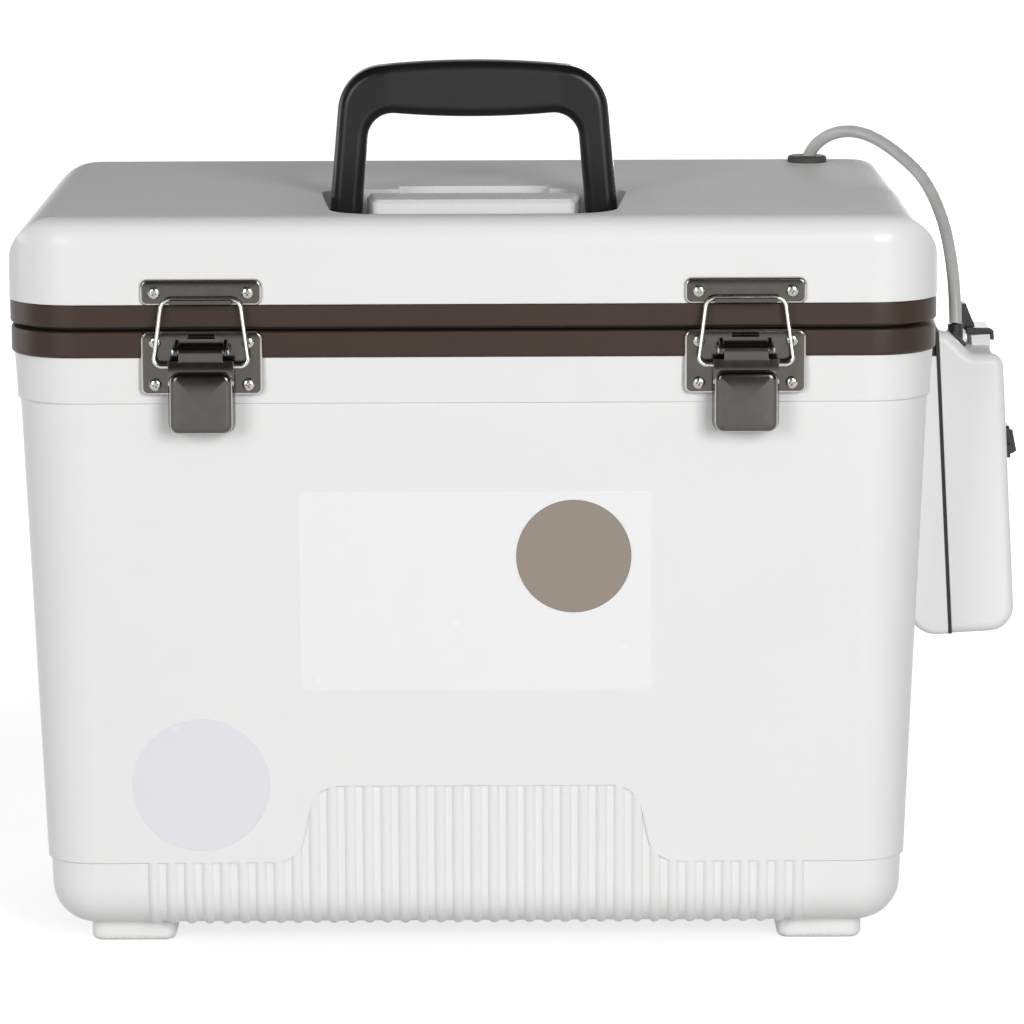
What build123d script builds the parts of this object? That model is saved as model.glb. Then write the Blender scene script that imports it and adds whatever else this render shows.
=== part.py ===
from build123d import *
import os
from math import cos, hypot, pi, radians, sin, tan

# Insulated live-bait box: a tapered foam-filled case, a hinged lid with a fold-down
# handle, two draw latches, and a battery air pump hung on the right-hand side whose
# hose runs into the lid.  Millimetres; +X right, +Y to the hinge side, +Z up.
# The origin is under the centre of the case, on the surface that the feet stand on.

# ---------------------------------------------------------------- driving sizes: box
box_width = 430.0            # across the lid, side to side
box_depth = 268.0            # across the lid, front to hinge side
corner_radius = 32.0         # upright corners of the lid, seen from above
foot_height = 10.0
tub_height = 252.3           # underside of the case up to the collar line
collar_height = 21.3
rim_height = 12.3            # brown band round the top of the case
seam_gap = 1.9               # dark gap between the two bands
lid_band_height = 10.6       # brown band round the foot of the lid
dome_height = 39.6           # white part of the lid above its band
draft = 2.3                  # degrees, walls of the case
collar_draft = 3.2           # degrees, collar under the band
tub_inset = 4.0              # how far the case wall stands in from the lid's outline
collar_foot_inset = 3.0      # the same at the foot of the collar
rim_inset = 0.7
lid_band_inset = 0.3
skin = 3.0                   # outer mouldings
liner_skin = 2.5             # inner mouldings
underside_radius = 20.0      # round edge under the case
mouth_width = 372.0          # opening of the case, inside the liner
mouth_depth = 208.0
mouth_corner = 20.0
floor_thickness = 24.0       # underside of the case up to the liner's floor
liner_floor_radius = 14.0
foam_gap = 0.4               # foam stands off the mouldings by this much
fit_gap = 0.3                # clearance between pieces that pass each other

# ------------------------------------------------------- driving sizes: ribbed skirt
skirt_height = 33.0          # step line above the underside of the case
skirt_rise = 37.0            # how much higher the step line runs in the middle of the front
skirt_step = 1.3             # the skirt stands back from the wall by this much
rise_half_width = 79.0
rise_slope = 8.0             # lean of the rise's two sides, foot to head
rise_radius = 14.0
rib_count = 37
rib_pitch = 8.4
rib_radius = 3.2
rib_sink = 1.7               # rib centre line behind the skirt's surface
rib_turn = 64.0              # degrees that the ribs run round the bend under the case

# ---------------------------------------------------------------- driving sizes: feet
foot_width = 40.0
foot_length = 30.0
foot_spread_x = 162.5
foot_spread_y = 85.0
foot_corner = 6.0
foot_edge = 3.0

# ----------------------------------------------------------------- driving sizes: lid
side_round = 25.0            # round shoulder along the lid's two ends
edge_round = 12.0            # round edge along its front and back
plug_depth = 7.0             # how far the lid's underside reaches into the mouth
plug_gap = 5.0
gasket_width = 8.0
gasket_inset = 7.0

# -------------------------------------------------------------- driving sizes: handle
handle_y = -38.0
handle_drop = 13.0           # pivot below the lid's top
handle_half_foot = 68.8      # outer half width at the pivot
handle_half_head = 62.4      # the same at the top of the handle
handle_rise = 77.0           # pivot to the top of the grip
handle_crown = 4.4           # rise of the grip's top over its ends
leg_width = 15.5
grip_height = 26.3           # at mid grip
grip_belly = 2.8             # sag of the grip's underside
handle_thickness = 18.0
handle_outer_radius = 22.0
handle_inner_radius = 12.0
handle_soften = 5.0
pivot_radius = 3.0
pivot_bite = 10.0            # how far each pivot pin reaches into its leg
well_depth = 24.0
well_gap = 3.0               # between the folded handle and the wall of its well
well_wall = 2.5
well_front_radius = 22.0
well_rear_radius = 16.0
well_tail = 26.0             # behind the pivot
scoop_half_width = 36.0      # finger scoop in the rear wall of the well
scoop_reach = 13.0
pad_rear_half = 51.5         # raised pad between the legs
pad_front_half = 47.5
pad_rear = 14.5              # rear edge behind the pivot
pad_front = 17.0             # front edge in front of the pivot
pad_sink = 0.5               # pad top under the lid's top
pad_bevel = 2.0
pad_corner = 4.0

# ------------------------------------------------------------- driving sizes: latches
latch_x = 124.5
plate_width = 56.0
plate_thickness = 2.0
plate_corner = 4.5
base_plate_height = 29.6
base_plate_top = 0.5         # above the top of the case band
keeper_height = 12.2
keeper_foot = 0.2            # below the top of the lid band
plate_edge = 0.8
lever_width = 31.0
lever_neck = 20.0
lever_skin = 1.3
lever_reach = 38.6           # pivot down to the lever's tip
lever_pin_height = 8.7       # pivot in front of the base plate's back
lever_pin_drop = 8.4         # pivot below the top edge of the base plate
lever_pin_radius = 1.5
lever_pad_rise = 2.2         # thumb pad in front of the blade
lever_pad_height = 26.7
lever_pad_inset = 1.5        # pad in from the blade's sides and tip
lever_pad_round = 2.0
lever_roll = 2.9             # radius of the blade's roll round its pin
lever_head_gap = 4.0         # pin down to the top of the lever's cheeks
ear_gap = 0.35
ear_skin = 1.6
bail_wire = 1.0              # radius
bail_drop = 7.0              # bail pivot below the lever pivot
bail_back = 1.0              # bail pivot behind the lever pivot
bail_half_head = 17.9        # half width at the top bar, before its round corners
bail_half_foot = 21.9        # the same at the pivots
bail_head_radius = 5.0
bail_foot_radius = 3.5
bail_rise = 30.4             # bail pivot up to the top bar
bail_side_gap = 0.6          # bail wire to the keeper's plate
hook_slack = 3.2             # room in front of the bail for its swing off the hook
hook_skin = 1.4
hook_half_width = 13.0
hook_lip = 2.7               # lip above the hook's floor
hook_floor_gap = 0.5
latch_screw_radius = 2.9
latch_screw_x = 21.3
latch_screw_rise = 4.2       # in from the long edges of the plates

# -------------------------------------------------------------- driving sizes: hinges
hinge_x = 120.0
hinge_width = 46.0
hinge_back = 4.5             # hinge line behind the lid's rear face
hinge_leaf = 15.0
leaf_skin = 2.0
knuckle_radius = 3.4
hinge_pin_radius = 1.6
knuckle_gap = 0.3
hinge_screw_radius = 2.6
hinge_screw_x = 15.0
shank_share = 0.5            # screw shank radius over head radius, on every screw

# ------------------------------------------------------ driving sizes: grommet, hoses
grommet_x = 167.5
grommet_y = 110.0
grommet_radius = 9.8
grommet_height = 3.2
grommet_neck = 6.0
grommet_neck_depth = 5.5
nipple_x, nipple_y = 230.5, -28.0
nipple_top = 284.0
hose_radius = 3.0
stone_radius = 8.0
stone_length = 28.0

# ---------------------------------------------------------------- driving sizes: pump
pump_seam_head = (220.223, 282.784)  # X, Z of the upper end of the seam line
pump_tilt = 3.1                      # degrees, the foot stands out
pump_depth = 90.0
pump_height = 147.5                  # along the seam
pump_thickness = 31.3                # outer half, from the seam
pump_skin = 2.4
pump_wall_gap = 1.2                  # inner half to the wall of the case
pump_shoulder_drop = 13.0            # top of the outer half below the seam's top
pump_step_in = 5.5
pump_step_out = 15.5
pump_outer_foot_radius = 12.0
pump_inner_foot_radius = 14.0
pump_head_radius = 6.5
pump_edge_radius = 5.0       # along the outer half
inner_edge_radius = 3.0      # along the inner half
seal_thickness = 1.8
inner_half_drop = 12.0               # top of the inner half below the seam's top
hanger_half_depth = 42.0     # bracket and hanger, front to back
bracket_skin = 1.2
bracket_screw_y = 34.0
channel_half_depth = 28.0    # channel that the hanger's tongue drops into
channel_height = 7.0
tongue_skin = 1.0
pump_latch_pivot = (13.5, pump_height - 5.5)     # across and up the seam
pump_latch_half = 12.0
pump_latch_ear = 2.5
nipple_radius = 3.6
nipple_pad_skin = 1.6
switch_height = pump_height - 57.0   # up the outer face
switch_y = -28.0
switch_lift = 1.0                    # pivot outside the outer face
switch_collar = 2.0                  # how far the bezel stands out
switch_half_height = 6.2
switch_half_depth = 5.5
switch_bezel = 1.6
lug_half_depth = 13.0                # catch for the pump's latch
lug_in, lug_out = 19.0, 28.0
lug_height = 5.5
cell_radius = 16.6
cell_length = 61.0

# --------------------------------------------------------------------- derived levels
tub_z = foot_height
collar_z = tub_z + tub_height
rim_z = collar_z + collar_height
rim_top = rim_z + rim_height
lid_z = rim_top + seam_gap
dome_z = lid_z + lid_band_height
lid_top = dome_z + dome_height
half_width = box_width / 2
half_depth = box_depth / 2
front = -half_depth
hinge_y = half_depth + hinge_back
hinge_z = rim_top + seam_gap / 2
handle_z = lid_top - handle_drop

os.makedirs("parts", exist_ok=True)


def save(part, name):
    part.label = name
    export_step(part, "parts/" + name + ".step")


# ------------------------------------------------------------------ shared outer forms
def tub_form(inset, top, foot, edge):
    """Case body whose drafted wall stands inset behind the case's outer surface."""
    shrink = inset + tub_inset
    size = (box_width - 2 * shrink, box_depth - 2 * shrink)
    with BuildPart() as form:
        with BuildSketch(Plane.XY.offset(collar_z)):
            RectangleRounded(*size, corner_radius - inset)
        extrude(amount=collar_z - foot, dir=(0, 0, -1), taper=draft)
        fillet(form.faces().sort_by(Axis.Z)[0].edges(), edge)
        if top > collar_z:
            with BuildSketch(Plane.XY.offset(collar_z)):
                RectangleRounded(*size, corner_radius - inset)
            extrude(amount=top - collar_z)
    return form.part


def mouth_form(grow, top, foot):
    """Space inside the liner, its drafted walls moved out by grow."""
    with BuildPart() as form:
        with BuildSketch(Plane.XY.offset(rim_top)):
            RectangleRounded(mouth_width + 2 * grow, mouth_depth + 2 * grow, mouth_corner + grow)
        extrude(amount=rim_top - foot, dir=(0, 0, -1), taper=draft)
        fillet(form.faces().sort_by(Axis.Z)[0].edges(), liner_floor_radius + grow)
        if top > rim_top:
            with BuildSketch(Plane.XY.offset(rim_top)):
                RectangleRounded(mouth_width + 2 * grow, mouth_depth + 2 * grow, mouth_corner + grow)
            extrude(amount=top - rim_top)
    return form.part


def dome_form(inset, foot, top):
    """White upper part of the lid, its outer surface moved in by inset."""
    width = box_width - 2 * inset
    depth = box_depth - 2 * inset
    with BuildPart() as form:
        with BuildSketch(Plane.XY.offset(foot)):
            RectangleRounded(width, depth, corner_radius - inset)
        extrude(amount=top - foot)
        fillet(form.faces().sort_by(Axis.Z)[-1].edges(), edge_round - inset)
        with BuildSketch(Plane.XZ) as ends:
            with Locations((0, (foot + top) / 2)):
                Rectangle(width, top - foot)
            fillet(ends.vertices().group_by(Axis.Y)[-1], side_round - inset)
        extrude(amount=box_depth, both=True, mode=Mode.INTERSECT)
    return form.part


def well_form(grow, top):
    """Space that the folded handle lies in, with a finger scoop behind, moved out by grow."""
    rear_y = handle_y + well_tail
    front_y = handle_y - handle_rise - well_gap
    lean = (handle_half_foot - handle_half_head) / handle_rise
    rear_half = handle_half_foot + well_gap + lean * well_tail
    front_half = handle_half_head + well_gap - lean * well_gap
    floor = lid_top - well_depth - grow
    with BuildPart() as form:
        with BuildSketch(Plane.XY.offset(floor)) as outline:
            with BuildLine():
                Polyline(
                    (-rear_half, rear_y), (-front_half, front_y), (front_half, front_y), (rear_half, rear_y),
                    close=True,
                )
            make_face()
            fillet(outline.vertices().group_by(Axis.Y)[0], well_front_radius)
            fillet(outline.vertices().group_by(Axis.Y)[-1], well_rear_radius)
            if grow > 0:
                offset(amount=grow, kind=Kind.ARC)
        extrude(amount=top - floor)
        with BuildSketch(Plane.YZ):
            with BuildLine():
                Polyline(
                    (rear_y - well_rear_radius, floor), (rear_y + grow, floor),
                    (rear_y + scoop_reach + grow, lid_top), (rear_y + scoop_reach + grow, top),
                    (rear_y - well_rear_radius, top), close=True,
                )
            make_face()
        extrude(amount=scoop_half_width + grow, both=True)
    return form.part


def front_wall_y(z, inset):
    """Y of the case's drafted front wall at height z, moved in by inset."""
    return -(half_depth - tub_inset - inset - (collar_z - z) * tan(radians(draft)))


def side_wall_x(z):
    """X of the case's right-hand side at height z: collar above the line, wall below it."""
    if z > collar_z:
        return half_width - collar_foot_inset + (z - collar_z) * tan(radians(collar_draft))
    return half_width - tub_inset - (collar_z - z) * tan(radians(draft))


def screws(places, normal, head_radius, length):
    """Dome-headed screws: head on the outside of each place, plain shank going in."""
    rise = head_radius * 0.55
    with BuildPart() as group:
        for place in places:
            seat = Plane(origin=place, z_dir=normal)
            with BuildSketch(seat):
                Circle(head_radius)
            extrude(amount=rise)
            crown = group.edges().filter_by(GeomType.CIRCLE).sort_by_distance(place + Vector(normal) * rise)[0]
            fillet(crown, rise * 0.7)
            with BuildSketch(seat):
                Circle(head_radius * shank_share)
            extrude(amount=-length)
    return group.part


# ================================================================== fastener places
base_back = front + rim_inset                # back of the latch base plates
base_top = rim_top + base_plate_top
base_foot = base_top - base_plate_height
keeper_z = dome_z - keeper_foot
latch_sides = {"left": -latch_x, "right": latch_x}
base_screw_places = [
    Vector(x + dx, base_back - plate_thickness, z)
    for x in latch_sides.values()
    for dx in (-latch_screw_x, latch_screw_x)
    for z in (base_foot + latch_screw_rise + plate_edge, base_top - latch_screw_rise - plate_edge)
]
keeper_screw_places = [
    Vector(x + dx, front - plate_thickness, keeper_z + keeper_height / 2)
    for x in latch_sides.values()
    for dx in (-latch_screw_x, latch_screw_x)
]
leaf_back = half_depth - rim_inset           # the case leaves lie on the band
leaf_low_top = hinge_z - knuckle_radius + 0.5
leaf_high_foot = hinge_z + knuckle_radius - 0.5
case_hinge_screw_places = [
    Vector(x + dx, leaf_back + leaf_skin, rim_z + rim_height * 0.4)
    for x in (-hinge_x, hinge_x)
    for dx in (-hinge_screw_x, hinge_screw_x)
]
lid_hinge_screw_places = [
    Vector(x + dx, half_depth + leaf_skin, leaf_high_foot + hinge_leaf - hinge_screw_radius - plate_edge)
    for x in (-hinge_x, hinge_x)
    for dx in (-hinge_screw_x, hinge_screw_x)
]
bracket_z = collar_z + 9.3
bracket_height = rim_z - bracket_z - 0.8
bracket_face_x = side_wall_x(rim_z) + bracket_skin
bracket_screw_places = [
    Vector(bracket_face_x, y, bracket_z + bracket_height / 2) for y in (-bracket_screw_y, bracket_screw_y)
]
screw_bite = 5.0             # shank behind the plate's back
base_screws = screws(base_screw_places, (0, -1, 0), latch_screw_radius, plate_thickness + screw_bite)
keeper_screws = screws(keeper_screw_places, (0, -1, 0), latch_screw_radius, plate_thickness + skin - 0.2)
case_hinge_screws = screws(case_hinge_screw_places, (0, 1, 0), hinge_screw_radius, leaf_skin + screw_bite)
lid_hinge_screws = screws(lid_hinge_screw_places, (0, 1, 0), hinge_screw_radius, leaf_skin + skin - 0.2)
bracket_screws = screws(bracket_screw_places, (1, 0, 0), hinge_screw_radius, 5.6)
save(base_screws, "latch_base_screws")
save(keeper_screws, "keeper_screws")
save(case_hinge_screws, "case_hinge_screws")
save(lid_hinge_screws, "lid_hinge_screws")
save(bracket_screws, "pump_bracket_screws")

# ====================================================================== case: shell
skirt_z = tub_z + skirt_height
skirt_head_z = skirt_z + skirt_rise
with BuildPart() as skirt_zone:
    with BuildSketch(Plane.XZ.offset(half_depth / 2)) as outline:
        with BuildLine():
            Polyline(
                (-box_width, 0), (-box_width, skirt_z), (-rise_half_width - rise_slope / 2, skirt_z),
                (-rise_half_width + rise_slope / 2, skirt_head_z), (rise_half_width - rise_slope / 2, skirt_head_z),
                (rise_half_width + rise_slope / 2, skirt_z), (box_width, skirt_z), (box_width, 0), close=True,
            )
        make_face()
        bends = outline.vertices().filter_by(lambda v: abs(v.X) < box_width / 2)
        fillet(bends, rise_radius)
    extrude(amount=half_depth)
    with BuildSketch(Plane.XY):
        Rectangle(box_width + 10, box_depth + 10)
    extrude(amount=skirt_z)

with BuildPart() as skirt_cut:
    add(skirt_zone.part)
    add(tub_form(skirt_step, collar_z, tub_z, underside_radius), mode=Mode.SUBTRACT)

rib_path_radius = underside_radius - rib_sink
rib_head = Vector(0, front_wall_y(skirt_head_z, skirt_step + rib_sink), skirt_head_z)
bend_y = front_wall_y(tub_z + underside_radius, skirt_step) + underside_radius
bend_z = tub_z + underside_radius
rib_lean = radians(draft)
rib_bend_start = Vector(0, bend_y - rib_path_radius * cos(rib_lean), bend_z - rib_path_radius * sin(rib_lean))
rib_half_turn = radians(rib_turn / 2)
rib_full_turn = radians(rib_turn)
rib_bend_mid = Vector(0, bend_y - rib_path_radius * cos(rib_half_turn), bend_z - rib_path_radius * sin(rib_half_turn))
rib_foot = Vector(0, bend_y - rib_path_radius * cos(rib_full_turn), bend_z - rib_path_radius * sin(rib_full_turn))
with BuildPart() as ribs:
    with BuildLine() as rib_path:
        Line(rib_head, rib_bend_start)
        ThreePointArc(rib_bend_start, rib_bend_mid, rib_foot)
    with BuildSketch(Plane(origin=rib_head, z_dir=rib_path.line % 0)) as rib_section:
        Circle(rib_radius)
    sweep()
one_rib = ribs.part
with BuildPart() as rib_row:
    with Locations(*[(rib_pitch * (i - (rib_count - 1) / 2), 0, 0) for i in range(rib_count)]):
        add(one_rib)
    add(skirt_zone.part, mode=Mode.INTERSECT)

with BuildPart() as case_shell:
    add(tub_form(0, collar_z, tub_z, underside_radius))
    add(skirt_cut.part, mode=Mode.SUBTRACT)
    add(rib_row.part)
    with BuildSketch(Plane.XY.offset(rim_z)):
        top_inset = half_width - side_wall_x(rim_z)
        RectangleRounded(box_width - 2 * top_inset, box_depth - 2 * top_inset, corner_radius - top_inset + 2)
    extrude(amount=collar_height, dir=(0, 0, -1), taper=collar_draft)
    add(tub_form(skin + skirt_step, rim_z + 1, tub_z + skin, underside_radius - skin), mode=Mode.SUBTRACT)
    for fasteners in (base_screws, bracket_screws, case_hinge_screws):
        add(fasteners, mode=Mode.SUBTRACT)
save(case_shell.part, "case_shell")

# ======================================================================= case: liner
liner_floor = tub_z + floor_thickness
with BuildPart() as case_liner:
    add(mouth_form(liner_skin, rim_top, liner_floor - liner_skin))
    add(mouth_form(0, rim_top + 1, liner_floor), mode=Mode.SUBTRACT)
save(case_liner.part, "case_liner")

foam_inset = skin + skirt_step + foam_gap
with BuildPart() as case_foam:
    add(tub_form(foam_inset, rim_z - foam_gap, tub_z + skin + foam_gap, underside_radius - skin))
    add(mouth_form(liner_skin + foam_gap, rim_top, liner_floor - liner_skin - foam_gap), mode=Mode.SUBTRACT)
save(case_foam.part, "case_foam")

# ==================================================================== case: top band
ring_hole = (mouth_width + 2 * liner_skin + 2 * fit_gap, mouth_depth + 2 * liner_skin + 2 * fit_gap)
ring_corner = mouth_corner + liner_skin + fit_gap
with BuildPart() as case_rim_band:
    with BuildSketch(Plane.XY.offset(rim_z)):
        RectangleRounded(box_width - 2 * rim_inset, box_depth - 2 * rim_inset, corner_radius - rim_inset)
    extrude(amount=rim_height)
    fillet(case_rim_band.faces().sort_by(Axis.Z)[0].edges(), 1.6)
    fillet(case_rim_band.faces().sort_by(Axis.Z)[-1].edges(), 0.8)
    with BuildSketch(Plane.XY.offset(rim_z)):
        RectangleRounded(*ring_hole, ring_corner)
    extrude(amount=rim_height, mode=Mode.SUBTRACT)
    for fasteners in (base_screws, case_hinge_screws):
        add(fasteners, mode=Mode.SUBTRACT)
save(case_rim_band.part, "case_rim_band")

# ======================================================================== case: feet
with BuildPart() as feet:
    with BuildSketch(Plane.XY):
        with GridLocations(2 * foot_spread_x, 2 * foot_spread_y, 2, 2):
            RectangleRounded(foot_width, foot_length, foot_corner)
    extrude(amount=foot_height)
    fillet(feet.faces().filter_by(Axis.Z).group_by(Axis.Z)[0].edges(), foot_edge)
save(feet.part, "feet")

# ============================================================================ labels
label_skin = 0.25
label_level = 160.0                          # the places below are measured from here
wide_label = (163.0, 94.0)
wide_label_place = (0.2, 13.0)
roundel_radius, roundel_place = 27.0, (45.9, 29.7)
disc_radius, disc_place = 32.0, (-128.1, -79.2)
label_plane = Plane(
    origin=(0, front_wall_y(label_level, 0), label_level), x_dir=(1, 0, 0),
    z_dir=(0, -cos(radians(draft)), -sin(radians(draft))),
)
with BuildPart() as front_labels:
    with BuildSketch(label_plane):
        with Locations(wide_label_place):
            RectangleRounded(*wide_label, 3.0)
        with Locations(roundel_place):
            Circle(roundel_radius + fit_gap, mode=Mode.SUBTRACT)
        with Locations(roundel_place):
            Circle(roundel_radius)
        with Locations(disc_place):
            Circle(disc_radius)
    extrude(amount=label_skin)
save(front_labels.part, "front_labels")

# ====================================================================== hoses (free)
def hose(points, name):
    """Round hose along straight runs joined by arcs as large as the runs allow."""
    corners = [Vector(*point) for point in points]
    radii = []
    for before, corner, after in zip(corners, corners[1:], corners[2:]):
        run_in, run_out = corner - before, after - corner
        half_turn = radians(run_in.get_angle(run_out)) / 2
        radii.append(0.45 * min(run_in.length, run_out.length) / tan(half_turn))
    with BuildPart() as tube:
        with BuildLine() as path:
            FilletPolyline(*corners, radius=radii)
        with BuildSketch(Plane(origin=corners[0], z_dir=corners[1] - corners[0])):
            Circle(hose_radius)
        sweep()
    length = sum(edge.length for edge in path.edges())
    print(name, "length", round(length, 1), "bend radii", [round(radius, 1) for radius in radii])
    print(name, "volume over section times length", round(tube.part.volume / (pi * hose_radius**2 * length), 4))
    return tube.part


outer_route = [
    (nipple_x, nipple_y, nipple_top + 0.45), (230.3, -26.2, 297.0), (229.4, -18.0, 312.0), (227.3, -4.0, 328.0),
    (223.4, 13.0, 340.5), (218.6, 29.5, 349.2), (212.1, 44.5, 355.2), (205.0, 58.0, 360.4),
    (198.6, 69.5, 363.8), (192.3, 79.0, 365.6), (186.6, 86.8, 365.7), (181.0, 93.4, 364.3),
    (175.9, 99.2, 361.5), (171.4, 104.6, 357.2), (168.6, 108.6, 352.2),
    (grommet_x, grommet_y, lid_top + 0.8),
]
inner_route = [
    (grommet_x - 0.6, grommet_y - 1.0, lid_top - 2.2), (151.0, 88.5, 293.0), (138.0, 70.5, 238.0),
    (142.0, 74.0, 180.0), (142.0, 74.0, 124.0),
]
air_hose = hose(outer_route, "air_hose")
inner_air_hose = hose(inner_route, "inner_air_hose")
save(air_hose, "air_hose")
save(inner_air_hose, "inner_air_hose")

with BuildPart() as air_stone:
    with BuildSketch(Plane.XY.offset(inner_route[-1][2])):
        with Locations(inner_route[-1][:2]):
            Circle(stone_radius)
    extrude(amount=-stone_length)
    fillet(air_stone.edges().filter_by(GeomType.CIRCLE), 2.5)
save(air_stone.part, "air_stone")

# ======================================================================== lid: shell
well_floor_z = lid_top - well_depth
pad_top = lid_top - pad_sink
leg_inner = handle_half_foot - leg_width     # inner face of a leg at the pivot
pad_side = pad_rear_half - (pad_rear_half - pad_front_half) * pad_rear / (pad_rear + pad_front)


def pad_form(inset, foot, top, short):
    """Raised pad between the handle's legs, its sides moved in by inset and its ends cut by short."""
    rear_y = handle_y + pad_rear - inset
    front_y = handle_y - pad_front + inset
    with BuildPart() as form:
        with BuildSketch(Plane.XY.offset(foot)) as outline:
            with BuildLine():
                Polyline(
                    (-pad_rear_half + short, rear_y), (-pad_front_half + short, front_y),
                    (pad_front_half - short, front_y), (pad_rear_half - short, rear_y), close=True,
                )
            make_face()
            fillet(outline.vertices(), pad_corner)
        extrude(amount=top - foot)
    return form.part


with BuildPart() as handle_pins:
    with BuildSketch(Plane.YZ.offset(pad_side - pivot_bite)):
        with Locations((handle_y, handle_z)):
            Circle(pivot_radius)
    extrude(amount=leg_inner + 2 * pivot_bite - pad_side)
    mirror(about=Plane.YZ)
save(handle_pins.part, "handle_pins")

with BuildPart() as well_walls:
    add(well_form(well_wall, lid_top + 1))
    add(dome_form(0, dome_z, lid_top), mode=Mode.INTERSECT)

with BuildPart() as pad:
    add(pad_form(0, well_floor_z - 0.5, pad_top, 0))
    chamfer(pad.faces().sort_by(Axis.Z)[-1].edges(), pad_bevel)

pin_block = pivot_bite + skin                # solid ends of the pad that hold the pins
with BuildPart() as lid_shell:
    add(dome_form(0, dome_z, lid_top))
    add(dome_form(skin, dome_z - 1, lid_top - skin), mode=Mode.SUBTRACT)
    add(well_walls.part)
    add(well_form(0, lid_top + 1), mode=Mode.SUBTRACT)
    add(pad.part)
    add(pad_form(skin, well_floor_z - 2 * well_wall, pad_top - skin, pin_block), mode=Mode.SUBTRACT)
    with BuildSketch(Plane.XY.offset(lid_top - 2 * skin)):
        with Locations((grommet_x, grommet_y)):
            Circle(grommet_neck)
    extrude(amount=3 * skin, mode=Mode.SUBTRACT)
    for inserted in (handle_pins.part, keeper_screws, lid_hinge_screws):
        add(inserted, mode=Mode.SUBTRACT)
save(lid_shell.part, "lid_shell")

# ================================================================= lid: underside, foam
liner_top_z = lid_z + liner_skin
plug_size = (mouth_width - 2 * plug_gap, mouth_depth - 2 * plug_gap)
plug_corner = mouth_corner - plug_gap
hose_bore = hose_radius + 1.0                # room for the hose's bend on its way through the lid


def plug_form(inset, foot, top):
    """Part of the lid that reaches into the mouth, its sides moved in by inset."""
    with BuildPart() as form:
        with BuildSketch(Plane.XY.offset(foot)):
            RectangleRounded(plug_size[0] - 2 * inset, plug_size[1] - 2 * inset, plug_corner - inset)
        extrude(amount=top - foot)
        fillet(form.faces().sort_by(Axis.Z)[0].edges(), 4.0)
    return form.part


with BuildPart() as hose_way:
    with BuildSketch(Plane(origin=inner_route[0], z_dir=Vector(*inner_route[0]) - Vector(*inner_route[1]))):
        Circle(hose_bore)
    extrude(amount=-70.0)

with BuildPart() as lid_liner:
    with BuildSketch(Plane.XY.offset(lid_z)):
        RectangleRounded(ring_hole[0] - 2 * fit_gap, ring_hole[1] - 2 * fit_gap, ring_corner - fit_gap)
    extrude(amount=liner_skin)
    add(plug_form(0, lid_z - plug_depth, lid_z + 1))
    add(plug_form(liner_skin, lid_z - plug_depth + liner_skin, liner_top_z + 1), mode=Mode.SUBTRACT)
    add(hose_way.part, mode=Mode.SUBTRACT)
save(lid_liner.part, "lid_liner")

with BuildPart() as lid_foam:
    add(dome_form(skin + foam_gap, dome_z + foam_gap, lid_top - skin - foam_gap))
    with BuildSketch(Plane.XY.offset(liner_top_z + foam_gap)):
        RectangleRounded(
            ring_hole[0] - 2 * foam_gap, ring_hole[1] - 2 * foam_gap, ring_corner - foam_gap,
        )
    extrude(amount=dome_z + 2 * foam_gap - liner_top_z)
    add(plug_form(liner_skin + foam_gap, lid_z - plug_depth + liner_skin + foam_gap, liner_top_z + 1))
    add(well_form(well_wall + foam_gap, lid_top + 1), mode=Mode.SUBTRACT)
    add(hose_way.part, mode=Mode.SUBTRACT)
    with BuildSketch(Plane.XY.offset(lid_top)):
        with Locations((grommet_x, grommet_y)):
            Circle(grommet_neck + foam_gap)
    extrude(amount=-grommet_neck_depth - foam_gap, mode=Mode.SUBTRACT)
save(lid_foam.part, "lid_foam")

# ================================================================ lid: band and gasket
with BuildPart() as lid_band:
    with BuildSketch(Plane.XY.offset(lid_z)):
        RectangleRounded(box_width - 2 * lid_band_inset, box_depth - 2 * lid_band_inset, corner_radius)
    extrude(amount=lid_band_height)
    fillet(lid_band.faces().sort_by(Axis.Z)[0].edges(), 0.9)
    fillet(lid_band.faces().sort_by(Axis.Z)[-1].edges(), 0.7)
    with BuildSketch(Plane.XY.offset(lid_z)):
        RectangleRounded(*ring_hole, ring_corner)
    extrude(amount=lid_band_height, mode=Mode.SUBTRACT)
save(lid_band.part, "lid_band")

with BuildPart() as lid_gasket:
    with BuildSketch(Plane.XY.offset(lid_z)):
        for inset, mode in ((gasket_inset, Mode.ADD), (gasket_inset + gasket_width, Mode.SUBTRACT)):
            RectangleRounded(box_width - 2 * inset, box_depth - 2 * inset, corner_radius - inset, mode=mode)
    extrude(amount=fit_gap - seam_gap)
save(lid_gasket.part, "lid_gasket")

with BuildPart() as hose_grommet:
    with BuildSketch(Plane.XY.offset(lid_top)):
        with Locations((grommet_x, grommet_y)):
            Circle(grommet_radius)
    extrude(amount=grommet_height)
    fillet(hose_grommet.edges().filter_by(GeomType.CIRCLE).sort_by(Axis.Z)[-1], 1.4)
    with BuildSketch(Plane.XY.offset(lid_top)):
        with Locations((grommet_x, grommet_y)):
            Circle(grommet_neck)
    extrude(amount=-grommet_neck_depth)
    add(inner_air_hose, mode=Mode.SUBTRACT)
    last_run = Vector(*outer_route[-1]) - Vector(*outer_route[-2])
    with BuildSketch(Plane(origin=outer_route[-1], z_dir=last_run)):
        Circle(hose_radius + fit_gap)
    extrude(amount=-4 * grommet_height, mode=Mode.SUBTRACT)
save(hose_grommet.part, "hose_grommet")

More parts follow.
